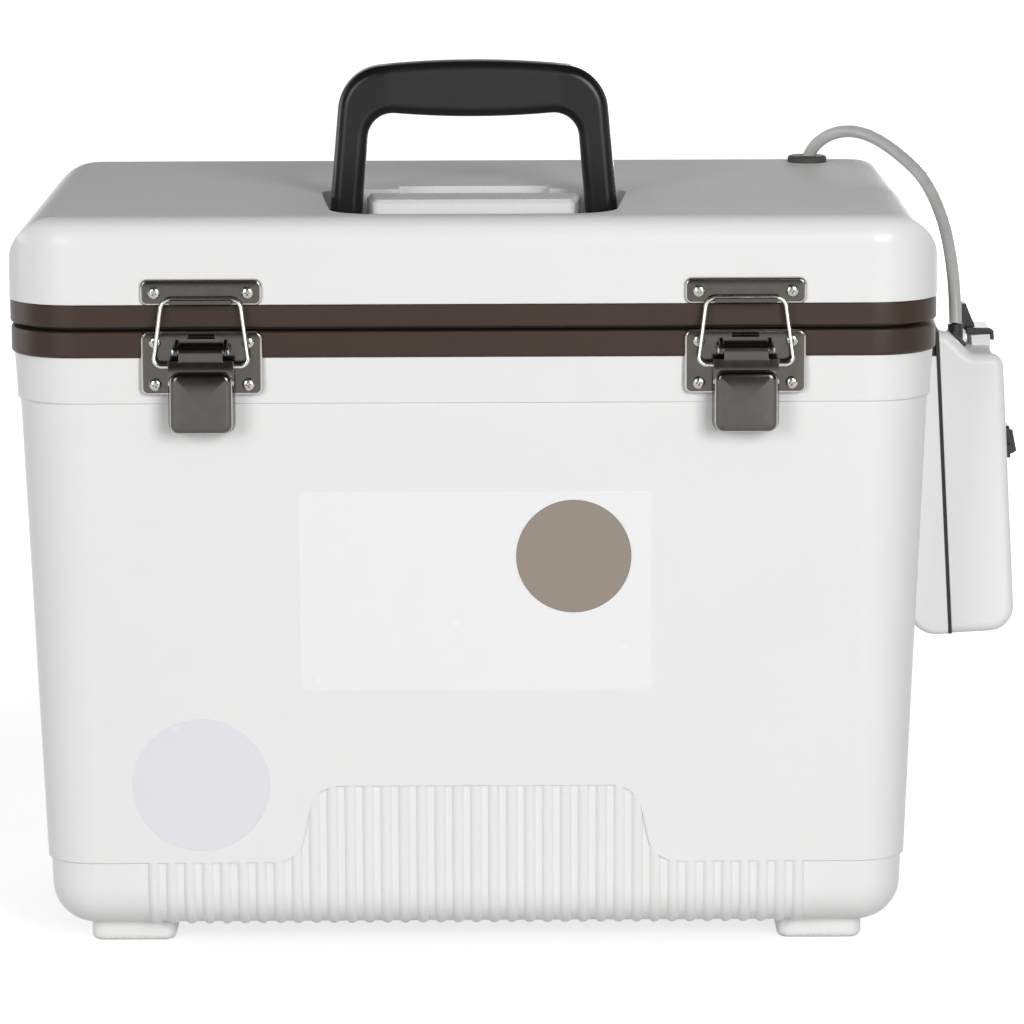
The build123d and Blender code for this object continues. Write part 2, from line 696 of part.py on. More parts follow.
# ============================================================================ handle
handle_lean = (handle_half_foot - handle_half_head) / handle_rise
leg_end = handle_thickness / 2               # round end of each leg, seen from the side
foot_half = handle_half_foot + handle_lean * leg_end
shoulder_z = handle_z + handle_rise - handle_crown
belly_z = handle_z + handle_rise - grip_height
inner_z = belly_z + grip_belly
inner_half = handle_half_head - leg_width + 2.1
with BuildPart() as handle:
    with BuildSketch(Plane.XZ.offset(-handle_y)) as front_view:
        with BuildLine():
            Line((foot_half, handle_z - leg_end), (handle_half_head, shoulder_z))
            ThreePointArc(
                (handle_half_head, shoulder_z), (0, handle_z + handle_rise), (-handle_half_head, shoulder_z),
            )
            Polyline(
                (-handle_half_head, shoulder_z), (-foot_half, handle_z - leg_end),
                (leg_width - foot_half, handle_z - leg_end), (-inner_half, inner_z),
            )
            ThreePointArc((-inner_half, inner_z), (0, belly_z), (inner_half, inner_z))
            Polyline(
                (inner_half, inner_z), (foot_half - leg_width, handle_z - leg_end),
                (foot_half, handle_z - leg_end),
            )
        make_face()
        fillet(front_view.vertices().group_by(Axis.Y)[1], handle_inner_radius)
        fillet(front_view.vertices().group_by(Axis.Y)[-1], handle_outer_radius)
    extrude(amount=handle_thickness / 2, both=True)
    rims = handle.faces().filter_by(Axis.Y).edges().filter_by(lambda e: e.center().Z > handle_z - leg_end + 1)
    fillet(rims, handle_soften)
    with BuildSketch(Plane.YZ):
        with Locations((handle_y, handle_z)):
            Circle(leg_end)
        with Locations((handle_y, handle_z + handle_rise / 2)):
            Rectangle(handle_thickness, handle_rise)
    extrude(amount=foot_half, both=True, mode=Mode.INTERSECT)
    with BuildSketch(Plane.YZ.offset(-leg_inner - pivot_bite - fit_gap)):
        with Locations((handle_y, handle_z)):
            Circle(pivot_radius + fit_gap)
    extrude(amount=2 * (leg_inner + pivot_bite + fit_gap), mode=Mode.SUBTRACT)
save(handle.part, "handle")

# =========================================================================== latches
pin_y = base_back - lever_pin_height
pin_z = base_top - lever_pin_drop
bail_y = pin_y + bail_back
bail_z = pin_z - bail_drop
bar_y = front - plate_thickness - bail_side_gap - bail_wire
bar_z = bail_z + bail_rise
ear_inner = lever_neck / 2 + ear_gap
ear_outer = ear_inner + ear_skin
ear_radius = lever_pin_radius + 1.2
pin_head_radius = lever_pin_radius + 0.8
pin_head = 1.2
cheek_top = pin_z - lever_head_gap
tip_z = pin_z - lever_reach
blade_front = pin_y - lever_roll
cheek_back = base_back - plate_thickness - 0.7
hook_floor = bar_z - bail_wire - hook_floor_gap
hook_in = bar_y - bail_wire - hook_slack


def base_plate(x):
    """Latch plate on the case's band, with two ears for the lever's pin."""
    with BuildPart() as plate:
        with BuildSketch(Plane.XZ.offset(-base_back)):
            with Locations((x, (base_top + base_foot) / 2)):
                RectangleRounded(plate_width, base_plate_height, plate_corner)
        extrude(amount=plate_thickness)
        fillet(plate.faces().sort_by(Axis.Y)[0].edges(), plate_edge)
        for side in (x - ear_outer, x + ear_inner):
            with BuildSketch(Plane.YZ.offset(side)):
                with Locations((pin_y, pin_z)):
                    Circle(ear_radius)
                with Locations(((pin_y + base_back - plate_thickness + 0.5) / 2, pin_z)):
                    Rectangle(base_back - plate_thickness + 0.5 - pin_y, 2 * ear_radius)
            extrude(amount=ear_skin)
        with BuildSketch(Plane.YZ.offset(x)):
            with Locations((pin_y, pin_z)):
                Circle(lever_pin_radius)
        extrude(amount=plate_width / 2, both=True, mode=Mode.SUBTRACT)
        add(base_screws, mode=Mode.SUBTRACT)
    return plate.part


def keeper(x):
    """Plate on the lid with the hook that the bail pulls down on."""
    plate_face = front - plate_thickness
    with BuildPart() as plate:
        with BuildSketch(Plane.XZ.offset(-front)) as outline:
            with Locations((x, keeper_z + keeper_height / 2)):
                Rectangle(plate_width, keeper_height)
            fillet(outline.vertices().group_by(Axis.Y)[-1], plate_corner)
            fillet(outline.vertices().group_by(Axis.Y)[0], plate_corner / 2)
        extrude(amount=plate_thickness)
        fillet(plate.faces().sort_by(Axis.Y)[0].edges(), plate_edge)
        with BuildSketch(Plane.YZ.offset(x)) as hook:
            with BuildLine():
                Polyline(
                    (plate_face + 0.5, hook_floor - hook_skin), (hook_in - hook_skin, hook_floor - hook_skin),
                    (hook_in - hook_skin, hook_floor + hook_lip), (hook_in, hook_floor + hook_lip),
                    (hook_in, hook_floor), (plate_face + 0.5, hook_floor), close=True,
                )
            make_face()
            fillet(hook.vertices().sort_by(lambda v: v.X + v.Y)[0], hook_skin)
        extrude(amount=hook_half_width, both=True)
        add(keeper_screws, mode=Mode.SUBTRACT)
    return plate.part


def latch_pin(x):
    """Rivet through the ears and the lever's roll."""
    with BuildPart() as rivet:
        with BuildSketch(Plane.YZ.offset(x)):
            with Locations((pin_y, pin_z)):
                Circle(lever_pin_radius)
        extrude(amount=ear_outer, both=True)
        for side, away in ((x - ear_outer, -pin_head), (x + ear_outer, pin_head)):
            with BuildSketch(Plane.YZ.offset(side)):
                with Locations((pin_y, pin_z)):
                    Circle(pin_head_radius)
            extrude(amount=away)
    return rivet.part


def thumb_pad(x):
    """Raised cushion-shaped panel on the lever's blade."""
    pad_z = tip_z + lever_pad_inset + lever_pad_height / 2
    with BuildPart() as cushion:
        with BuildSketch(Plane.XZ.offset(-blade_front - lever_skin / 2)) as outline:
            with Locations((x, pad_z)):
                Rectangle(lever_width - 2 * lever_pad_inset, lever_pad_height)
            fillet(outline.vertices(), 5.0)
        extrude(amount=lever_pad_rise + lever_skin / 2)
        fillet(cushion.faces().sort_by(Axis.Y)[0].edges(), lever_pad_round)
    return cushion.part


def lever(x):
    """Pressed lever: a blade with two cheeks, a rolled neck and a raised thumb pad."""
    with BuildPart() as blade:
        with BuildSketch(Plane.XZ.offset(-cheek_back)) as outline:
            with Locations((x, (cheek_top + tip_z) / 2)):
                Rectangle(lever_width, cheek_top - tip_z)
            fillet(outline.vertices().group_by(Axis.Y)[0], 4.5)
            fillet(outline.vertices().group_by(Axis.Y)[-1], 1.0)
        extrude(amount=cheek_back - blade_front)
        fillet(blade.faces().sort_by(Axis.Y)[0].edges(), 1.1)
        with BuildSketch(Plane.XZ.offset(-cheek_back)) as hollow:
            with Locations((x, (cheek_top + 1 + tip_z + lever_skin) / 2)):
                Rectangle(lever_width - 2 * lever_skin, cheek_top + 1 - tip_z - lever_skin)
            fillet(hollow.vertices().group_by(Axis.Y)[0], 4.5 - lever_skin)
        extrude(amount=cheek_back - blade_front - lever_skin, mode=Mode.SUBTRACT)
        with BuildSketch(Plane.XZ.offset(-blade_front)):
            with Locations((x, (cheek_top - 2.0 + pin_z) / 2)):
                Rectangle(lever_neck, pin_z - cheek_top + 2.0)
        extrude(amount=-lever_skin)
        with BuildSketch(Plane.YZ.offset(x)):
            with Locations((pin_y, pin_z)):
                Circle(lever_roll)
        extrude(amount=lever_neck / 2, both=True)
        add(thumb_pad(x))
        with BuildSketch(Plane.YZ.offset(x)):
            with Locations((pin_y, pin_z)):
                Circle(lever_pin_radius + fit_gap)
            with Locations((bail_y, bail_z)):
                Circle(bail_wire + fit_gap)
        extrude(amount=lever_width, both=True, mode=Mode.SUBTRACT)
    return blade.part


def bail(x):
    """Bent wire from the lever's cheeks up to the hook."""
    bail_plane = Plane(origin=(x, bail_y, bail_z), x_dir=(1, 0, 0), z_dir=(0, bail_z - bar_z, bar_y - bail_y))
    rise = hypot(bail_rise, bar_y - bail_y)
    end = lever_width / 2 - lever_skin - 1.0
    with BuildPart() as wire:
        with BuildLine(bail_plane) as path:
            FilletPolyline(
                (-end, 0), (-bail_half_foot, 0), (-bail_half_head, rise), (bail_half_head, rise),
                (bail_half_foot, 0), (end, 0),
                radius=[bail_foot_radius, bail_head_radius, bail_head_radius, bail_foot_radius],
            )
        with BuildSketch(Plane(origin=(x - end, bail_y, bail_z), z_dir=(-1, 0, 0))):
            Circle(bail_wire)
        sweep()
    return wire.part


for side, x in latch_sides.items():
    save(base_plate(x), side + "_latch_base_plate")
    save(keeper(x), side + "_latch_keeper")
    save(latch_pin(x), side + "_latch_pin")
    save(lever(x), side + "_latch_lever")
    save(bail(x), side + "_latch_bail")

# ============================================================================ hinges
third = hinge_width / 3


def leaf(x, back, foot, web_foot, knuckles, bore):
    """One leaf of a hinge with its knuckles, from back outwards."""
    with BuildPart() as plate:
        with BuildSketch(Plane.YZ.offset(x)):
            with Locations((back + leaf_skin / 2, foot + hinge_leaf / 2)):
                Rectangle(leaf_skin, hinge_leaf)
        extrude(amount=hinge_width / 2, both=True)
        corners = plate.edges().filter_by(Axis.Y)
        outer_corners = corners.sort_by_distance((x, back, hinge_z))[2:]
        fillet(outer_corners, 3.0)
        for middle, width in knuckles:
            with BuildSketch(Plane.YZ.offset(middle)):
                with Locations((hinge_y, hinge_z)):
                    Circle(knuckle_radius)
                with Locations(((back + hinge_y) / 2, web_foot + leaf_skin / 2)):
                    Rectangle(hinge_y - back, leaf_skin)
            extrude(amount=width / 2, both=True)
        with BuildSketch(Plane.YZ.offset(x)):
            with Locations((hinge_y, hinge_z)):
                Circle(bore)
        extrude(amount=hinge_width, both=True, mode=Mode.SUBTRACT)
    return plate.part


with BuildPart() as hinge_case_leaves:
    for x in (-hinge_x, hinge_x):
        outer_knuckles = ((x - third, third), (x + third, third))
        add(leaf(
            x, leaf_back, leaf_low_top - hinge_leaf, hinge_z - knuckle_radius, outer_knuckles,
            hinge_pin_radius,
        ))
    add(case_hinge_screws, mode=Mode.SUBTRACT)
save(hinge_case_leaves.part, "hinge_case_leaves")

with BuildPart() as hinge_lid_leaves:
    for x in (-hinge_x, hinge_x):
        centre_knuckle = ((x, third - 2 * knuckle_gap),)
        add(leaf(
            x, half_depth, leaf_high_foot, hinge_z + knuckle_radius - leaf_skin, centre_knuckle,
            hinge_pin_radius + fit_gap,
        ))
    add(lid_hinge_screws, mode=Mode.SUBTRACT)
save(hinge_lid_leaves.part, "hinge_lid_leaves")

with BuildPart() as hinge_pins:
    with BuildSketch(Plane.YZ):
        with Locations((hinge_y, hinge_z)):
            Circle(hinge_pin_radius)
    extrude(amount=hinge_x + hinge_width / 2, both=True)
    with BuildSketch(Plane.YZ):
        with Locations((hinge_y, hinge_z)):
            Circle(2 * hinge_pin_radius)
    extrude(amount=hinge_x - hinge_width / 2, both=True, mode=Mode.SUBTRACT)
save(hinge_pins.part, "hinge_pins")

# ============================================================================== pump
# Across the seam is u, outwards; up along the seam is v.
tilt = radians(pump_tilt)
pump_seam_foot = (
    pump_seam_head[0] + pump_height * sin(tilt), pump_seam_head[1] - pump_height * cos(tilt),
)
inner_half_height = pump_height - inner_half_drop
pump_plane = Plane(
    origin=(pump_seam_foot[0], 0, pump_seam_foot[1]), x_dir=(cos(tilt), 0, sin(tilt)), z_dir=(0, -1, 0),
)
seam = seal_thickness / 2
pump_half_depth = pump_depth / 2
pump_shelf = pump_height - pump_shoulder_drop


def at_pump(u, v, y=0.0):
    """Point given across and up the pump's seam."""
    return Vector(
        pump_seam_foot[0] + u * cos(tilt) - v * sin(tilt), y,
        pump_seam_foot[1] + u * sin(tilt) + v * cos(tilt),
    )


def seam_distance(x, v):
    """Across the seam: how far a point at height v lies from it when it stands at x."""
    return (x - pump_seam_foot[0] + v * sin(tilt)) / cos(tilt)


inner_foot_u = seam_distance(side_wall_x(pump_seam_foot[1]) + pump_wall_gap, 0)
inner_head_u = seam_distance(side_wall_x(at_pump(0, inner_half_height).Z) + pump_wall_gap, inner_half_height)


def outer_profile():
    """Outline of the outer half, from the seam outwards."""
    with BuildSketch(mode=Mode.PRIVATE) as profile:
        with BuildLine():
            Polyline(
                (seam, 0), (pump_thickness, 0), (pump_thickness, pump_shelf), (pump_step_out, pump_shelf + 1.0),
                (pump_step_in, pump_height - 1.0), (seam, pump_height), close=True,
            )
        make_face()
        for u, v, radius in (
            (pump_thickness, 0, pump_outer_foot_radius), (pump_thickness, pump_shelf, pump_head_radius),
            (pump_step_out, pump_shelf + 1.0, 6.0), (pump_step_in, pump_height - 1.0, 6.0),
        ):
            fillet(profile.vertices().sort_by_distance((u, v))[0], radius)
    return profile.sketch


def inner_profile():
    """Outline of the inner half, which follows the wall of the case."""
    with BuildSketch(mode=Mode.PRIVATE) as profile:
        with BuildLine():
            Polyline(
                (-seam, 0), (-seam, inner_half_height), (inner_head_u, inner_half_height),
                (inner_foot_u, 0), close=True,
            )
        make_face()
        fillet(profile.vertices().sort_by_distance((inner_foot_u, 0))[0], pump_inner_foot_radius)
    return profile.sketch


def seam_band(foot, head):
    """Fills the seam between the two halves, from foot to head."""
    with BuildSketch(mode=Mode.PRIVATE) as band:
        with Locations((0, (foot + head) / 2)):
            Rectangle(seal_thickness, head - foot)
    return band.sketch


with BuildPart() as pump_cavity:
    with BuildSketch(pump_plane):
        add(outer_profile())
        add(inner_profile())
        add(seam_band(0, inner_half_height))
        offset(amount=-pump_skin, kind=Kind.INTERSECTION)
    extrude(amount=pump_half_depth - pump_skin, both=True)

boss_places = [(y, v) for y in (-38.0, 38.0) for v in (20.0, pump_height - 29.5)]
boss_radius = 3.6
pump_screw_radius = 1.5
screw_head_sink = 2.6


def across_seam(places, radius, start, end):
    """Round bars across the seam at each place, from start to end."""
    with BuildPart() as bars:
        for y, v in places:
            with BuildSketch(Plane(origin=at_pump(start, v, y), z_dir=pump_plane.x_dir)):
                Circle(radius)
            extrude(amount=end - start)
    return bars.part


def inner_face_u(v):
    return inner_foot_u + (inner_head_u - inner_foot_u) * v / inner_half_height


with BuildPart() as pump_screws:
    for y, v in boss_places:
        seat = inner_face_u(v) + screw_head_sink
        add(across_seam([(y, v)], pump_screw_radius, seat, seam + 16.0))
        add(across_seam([(y, v)], 2 * pump_screw_radius, seat - 1.6, seat))
save(pump_screws.part, "pump_screws")

def off_seam(edge):
    """Whether an edge lies away from the seam of the pump."""
    return abs((edge.center() - pump_plane.origin).dot(pump_plane.x_dir)) > seam + 0.3


with BuildPart() as pump_inner_shell:
    with BuildSketch(pump_plane):
        add(inner_profile())
    extrude(amount=pump_half_depth, both=True)
    rims = pump_inner_shell.faces().filter_by(Axis.Y).edges().filter_by(off_seam)
    fillet(rims.sort_by(Axis.Z)[:-2], inner_edge_radius)
    add(pump_cavity.part, mode=Mode.SUBTRACT)
    for y, v in boss_places:
        seat = inner_face_u(v) + screw_head_sink
        add(across_seam([(y, v)], boss_radius, inner_face_u(v) + 1, -seam))
        add(across_seam([(y, v)], 2 * pump_screw_radius + 0.2, seat - 6, seat), mode=Mode.SUBTRACT)
    add(pump_screws.part, mode=Mode.SUBTRACT)
save(pump_inner_shell.part, "pump_inner_shell")

# ------------------------------------------------------------- pump: switch, top latch
switch_u = pump_thickness + switch_lift
switch_plane = pump_plane.offset(-switch_y)
switch_wall = 1.4
face_plane = Plane(
    origin=at_pump(pump_thickness, switch_height, switch_y), x_dir=(0, 1, 0), z_dir=pump_plane.x_dir,
)
with BuildPart() as pump_switch_housing:
    with BuildSketch(face_plane):
        RectangleRounded(2 * (switch_half_depth + 3 * switch_bezel / 2), 2 * (switch_half_height + switch_bezel), 2.0)
    extrude(amount=switch_collar)
    with BuildSketch(face_plane):
        Rectangle(2 * (switch_half_depth + switch_wall), 2 * (switch_half_height + switch_wall))
    extrude(amount=-8.5)
    with BuildSketch(switch_plane):
        with Locations((switch_u, switch_height)):
            Circle(switch_half_height + fit_gap)
    extrude(amount=switch_half_depth + fit_gap, both=True, mode=Mode.SUBTRACT)
    with BuildSketch(switch_plane):
        with Locations((switch_u, switch_height)):
            Circle(1.3)
    extrude(amount=2 * switch_half_depth, both=True, mode=Mode.SUBTRACT)
save(pump_switch_housing.part, "pump_switch_housing")

rocker_face = 3.5            # pivot to the rocker's face
rocker_lean = 8.0            # degrees, foot of the face out at rest
with BuildPart() as pump_switch:
    with BuildSketch(switch_plane):
        with Locations((switch_u, switch_height)):
            Circle(switch_half_height)
        reach = rocker_face + switch_half_height
        lean = radians(rocker_lean)
        with Locations((switch_u + reach * cos(lean), switch_height + reach * sin(lean))):
            Rectangle(
                2 * switch_half_height, 4 * switch_half_height, rotation=rocker_lean, mode=Mode.SUBTRACT,
            )
    extrude(amount=switch_half_depth, both=True)
    with BuildSketch(switch_plane):
        with Locations((switch_u, switch_height)):
            Circle(1.0)
    extrude(amount=switch_half_depth + switch_wall, both=True)
save(pump_switch.part, "pump_switch")

nipple_plane = Plane(origin=(nipple_x, nipple_y, nipple_top), z_dir=(0, 0, 1))
with BuildPart() as pump_outer_shell:
    with BuildSketch(pump_plane):
        add(outer_profile())
    extrude(amount=pump_half_depth, both=True)
    fillet(pump_outer_shell.faces().filter_by(Axis.Y).edges().filter_by(off_seam), pump_edge_radius)
    add(pump_cavity.part, mode=Mode.SUBTRACT)
    for y, v in boss_places:
        add(across_seam([(y, v)], boss_radius, seam, pump_thickness - 1.0))
    with BuildSketch(pump_plane):
        with Locations(((lug_in + lug_out) / 2, pump_shelf + lug_height / 2)):
            Rectangle(lug_out - lug_in, lug_height)
        with Locations(((lug_in + lug_out) / 2, pump_shelf)):
            Rectangle(lug_out - lug_in, 2.0)
    extrude(amount=lug_half_depth, both=True)
    ear_start = pump_latch_half - 1.2 - pump_latch_ear
    for start in (-ear_start - pump_latch_ear, ear_start):
        with BuildSketch(pump_plane.offset(start)):
            with BuildLine():
                Polyline(
                    (pump_step_out, pump_shelf), (pump_step_out + 1.2, pump_latch_pivot[1]),
                    (pump_latch_pivot[0], pump_latch_pivot[1] + 2.6),
                    (pump_latch_pivot[0] - 2.6, pump_latch_pivot[1]),
                    (pump_latch_pivot[0] - 3.0, pump_shelf + 4.0), close=True,
                )
            make_face()
        extrude(amount=pump_latch_ear)
    with BuildSketch(pump_plane):
        with Locations(pump_latch_pivot):
            Circle(1.2)
    extrude(amount=pump_half_depth / 2, both=True, mode=Mode.SUBTRACT)
    with BuildSketch(nipple_plane):
        Circle(nipple_radius)
    extrude(amount=-20.0, mode=Mode.SUBTRACT)
    with BuildSketch(face_plane):
        Rectangle(
            2 * (switch_half_depth + switch_wall + fit_gap), 2 * (switch_half_height + switch_wall + fit_gap),
        )
    extrude(amount=-2 * pump_skin, mode=Mode.SUBTRACT)
    add(pump_screws.part, mode=Mode.SUBTRACT)
save(pump_outer_shell.part, "pump_outer_shell")

with BuildPart() as pump_latch_pin:
    with BuildSketch(pump_plane):
        with Locations(pump_latch_pivot):
            Circle(1.2)
    extrude(amount=pump_latch_half - 1.2, both=True)
save(pump_latch_pin.part, "pump_latch_pin")

arm_foot = pump_shelf + lug_height + 0.4
arm_top = arm_foot + 2.6
with BuildPart() as pump_latch:
    with BuildSketch(pump_plane):
        with BuildLine():
            Polyline(
                (pump_latch_pivot[0] + 3.4, arm_foot), (lug_out + 0.4, arm_foot), (lug_out + 0.4, arm_foot - 3.4),
                (lug_out + 2.0, arm_foot - 3.4), (lug_out + 2.0, arm_foot + 1.2), (lug_out, arm_top),
                (pump_latch_pivot[0] + 3.4, arm_top + 0.6), close=True,
            )
        make_face()
    extrude(amount=pump_latch_half, both=True)
    with BuildSketch(pump_plane):
        with Locations(pump_latch_pivot):
            Circle(2.5)
        with BuildLine():
            Polyline(
                (pump_latch_pivot[0], arm_foot), (pump_latch_pivot[0] + 5, arm_foot),
                (pump_latch_pivot[0] + 5, arm_top), (pump_latch_pivot[0], pump_latch_pivot[1] + 2.5), close=True,
            )
        make_face()
    extrude(amount=ear_start - fit_gap, both=True)
    with BuildSketch(pump_plane):
        with BuildLine():
            Polyline(
                (pump_latch_pivot[0] + 1.6, arm_top - 1), (pump_latch_pivot[0] + 2.5, arm_top + 11.6),
                (pump_latch_pivot[0] + 4.2, arm_top + 11.6), (pump_latch_pivot[0] + 8.6, arm_top - 1), close=True,
            )
        make_face()
    extrude(amount=5.0, both=True)
    with BuildSketch(pump_plane):
        with Locations(pump_latch_pivot):
            Circle(1.2 + fit_gap)
    extrude(amount=pump_latch_half, both=True, mode=Mode.SUBTRACT)
save(pump_latch.part, "pump_latch")

# ------------------------------------------------------------- pump: nipple, seal, hanger
slope = Vector(pump_step_in - pump_step_out, pump_height - pump_shelf - 2.0).normalized()
slope_out = Vector(slope.Y, -slope.X)
with BuildPart() as pump_nipple:
    with BuildSketch(nipple_plane):
        Circle(nipple_radius)
    extrude(amount=-16.0)
    with BuildSketch(pump_plane.offset(-nipple_y)):
        with BuildLine():
            low = Vector(pump_step_out, pump_shelf + 1.0) + slope * 2.8
            high = low + slope * 9.0
            Polyline(
                (low.X, low.Y), (high.X, high.Y),
                ((high + slope_out * nipple_pad_skin).X, (high + slope_out * nipple_pad_skin).Y),
                ((low + slope_out * nipple_pad_skin).X, (low + slope_out * nipple_pad_skin).Y), close=True,
            )
        make_face()
    extrude(amount=6.5, both=True)
save(pump_nipple.part, "pump_nipple")

seal_inset = 0.4
with BuildPart() as pump_seal:
    with BuildSketch(pump_plane):
        with Locations((0, pump_height / 2)):
            Rectangle(seal_thickness, pump_height - 2 * seal_inset)
    extrude(amount=pump_half_depth - seal_inset, both=True)
    add(pump_cavity.part, mode=Mode.SUBTRACT)
    add(pump_screws.part, mode=Mode.SUBTRACT)
save(pump_seal.part, "pump_seal")

bracket_top = bracket_z + bracket_height
channel_x = bracket_face_x + tongue_skin + 2 * fit_gap       # inner face of the channel's lip
with BuildPart() as pump_bracket:
    with BuildSketch(Plane.XZ):
        with BuildLine():
            Polyline(
                (side_wall_x(bracket_z), bracket_z), (bracket_face_x, bracket_z), (bracket_face_x, bracket_top),
                (side_wall_x(bracket_top), bracket_top), close=True,
            )
        make_face()
    extrude(amount=hanger_half_depth, both=True)
    with BuildSketch(Plane.XZ):
        with BuildLine():
            Polyline(
                (bracket_face_x, bracket_z), (channel_x + bracket_skin, bracket_z),
                (channel_x + bracket_skin, bracket_z + channel_height), (channel_x, bracket_z + channel_height),
                (channel_x, bracket_z + bracket_skin), (bracket_face_x, bracket_z + bracket_skin), close=True,
            )
        make_face()
    extrude(amount=channel_half_depth, both=True)
    add(bracket_screws, mode=Mode.SUBTRACT)
save(pump_bracket.part, "pump_bracket")

hanger_top = pump_height - 1.2               # up the seam
bridge_z = bracket_z + channel_height + fit_gap
web_x = channel_x + bracket_skin + fit_gap
with BuildPart() as pump_hanger:
    with BuildSketch(pump_plane):
        with BuildLine():
            Polyline(
                (-seam, inner_half_height), (-seam, hanger_top), (seam_distance(web_x, hanger_top), hanger_top),
                (seam_distance(web_x, inner_half_height), inner_half_height), close=True,
            )
        make_face()
    extrude(amount=hanger_half_depth, both=True)
    with BuildSketch(Plane.XZ):
        with BuildLine():
            Polyline(
                (web_x + 1, bridge_z), (bracket_face_x + fit_gap + tongue_skin, bridge_z),
                (bracket_face_x + fit_gap + tongue_skin, bracket_z + bracket_skin + 0.6),
                (bracket_face_x + fit_gap, bracket_z + bracket_skin + 0.6),
                (bracket_face_x + fit_gap, bracket_top - 0.4), (web_x + 1, bracket_top - 0.4), close=True,
            )
        make_face()
    extrude(amount=channel_half_depth - 2.0, both=True)
save(pump_hanger.part, "pump_hanger")

# ------------------------------------------------------------------- pump: inner pieces
cell_u, cell_y, cell_foot = 8.0, 17.4, 5.8
with BuildPart() as pump_batteries:
    for y in (-cell_y, cell_y):
        with BuildSketch(Plane(origin=at_pump(cell_u, cell_foot, y), z_dir=-pump_plane.y_dir)):
            Circle(cell_radius)
        extrude(amount=-cell_length + 1.5)
        with BuildSketch(Plane(origin=at_pump(cell_u, cell_foot + cell_length - 1.5, y), z_dir=-pump_plane.y_dir)):
            Circle(cell_radius * 0.3)
        extrude(amount=-1.5)
save(pump_batteries.part, "pump_batteries")

with BuildPart() as pump_motor:
    with BuildSketch(pump_plane.offset(6.0)):
        with Locations((cell_u - 1.0, pump_height - 55.5)):
            Circle(11.0)
    extrude(amount=28.0)
    with BuildSketch(pump_plane.offset(6.0)):
        with Locations((cell_u - 1.0, pump_height - 55.5)):
            Circle(1.5)
    extrude(amount=-5.5)
save(pump_motor.part, "pump_motor")

with BuildPart() as pump_air_unit:
    with BuildSketch(pump_plane):
        with Locations((cell_u - 1.0, pump_height - 54.5)):
            RectangleRounded(24.0, 38.0, 3.0)
    extrude(amount=-34.0)
save(pump_air_unit.part, "pump_air_unit")
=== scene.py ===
from math import cos, pi, radians, sin, tau

import bmesh
import bpy
from mathutils import Matrix, Vector


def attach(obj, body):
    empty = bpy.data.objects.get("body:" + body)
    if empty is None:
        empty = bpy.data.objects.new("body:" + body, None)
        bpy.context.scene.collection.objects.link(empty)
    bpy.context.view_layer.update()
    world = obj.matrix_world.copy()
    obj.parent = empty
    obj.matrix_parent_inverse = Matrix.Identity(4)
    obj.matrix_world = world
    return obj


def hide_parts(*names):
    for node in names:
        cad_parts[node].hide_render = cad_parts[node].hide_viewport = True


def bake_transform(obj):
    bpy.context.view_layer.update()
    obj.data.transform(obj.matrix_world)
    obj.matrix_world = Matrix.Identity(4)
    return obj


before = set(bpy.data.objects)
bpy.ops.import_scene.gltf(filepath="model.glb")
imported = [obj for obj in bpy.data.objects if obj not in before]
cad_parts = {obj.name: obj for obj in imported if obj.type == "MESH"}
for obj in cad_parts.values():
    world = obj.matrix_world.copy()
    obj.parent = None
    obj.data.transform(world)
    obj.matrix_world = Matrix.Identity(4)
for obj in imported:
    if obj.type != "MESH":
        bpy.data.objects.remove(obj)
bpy.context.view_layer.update()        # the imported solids, by name, each in its place

# ---------------------------------------------------------------- camera
# The box stands a little below eye level and square to the viewer, who is far off, so that
# its upright edges stay upright and the lid shows as a narrow band over the front.
view_pitch, view_yaw, view_roll = 0.172487, 0.003259, -0.003441
ahead = Vector((sin(view_yaw) * cos(view_pitch), cos(view_yaw) * cos(view_pitch), -sin(view_pitch)))
level = Vector((cos(view_yaw), -sin(view_yaw), 0))
right = cos(view_roll) * level + sin(view_roll) * level.cross(ahead)
above = right.cross(ahead)
camera = bpy.data.objects.new("camera", bpy.data.cameras.new("camera"))
bpy.context.collection.objects.link(camera)
camera.matrix_world = Matrix.Translation((0.009996, -2.394469, 0.605562)) @ Matrix(
    (right, above, -ahead)).transposed().to_4x4()
camera.data.sensor_width = 36.0
camera.data.lens = 175.15
camera.data.clip_end = 60.0
bpy.context.scene.camera = camera

# ---------------------------------------------------------------- outer tub
# The outside of the case is one moulding of white polyethylene, with a ribbed skirt across
# the front. Its skin is half gloss, and ripples very faintly where the thick wall has cooled.


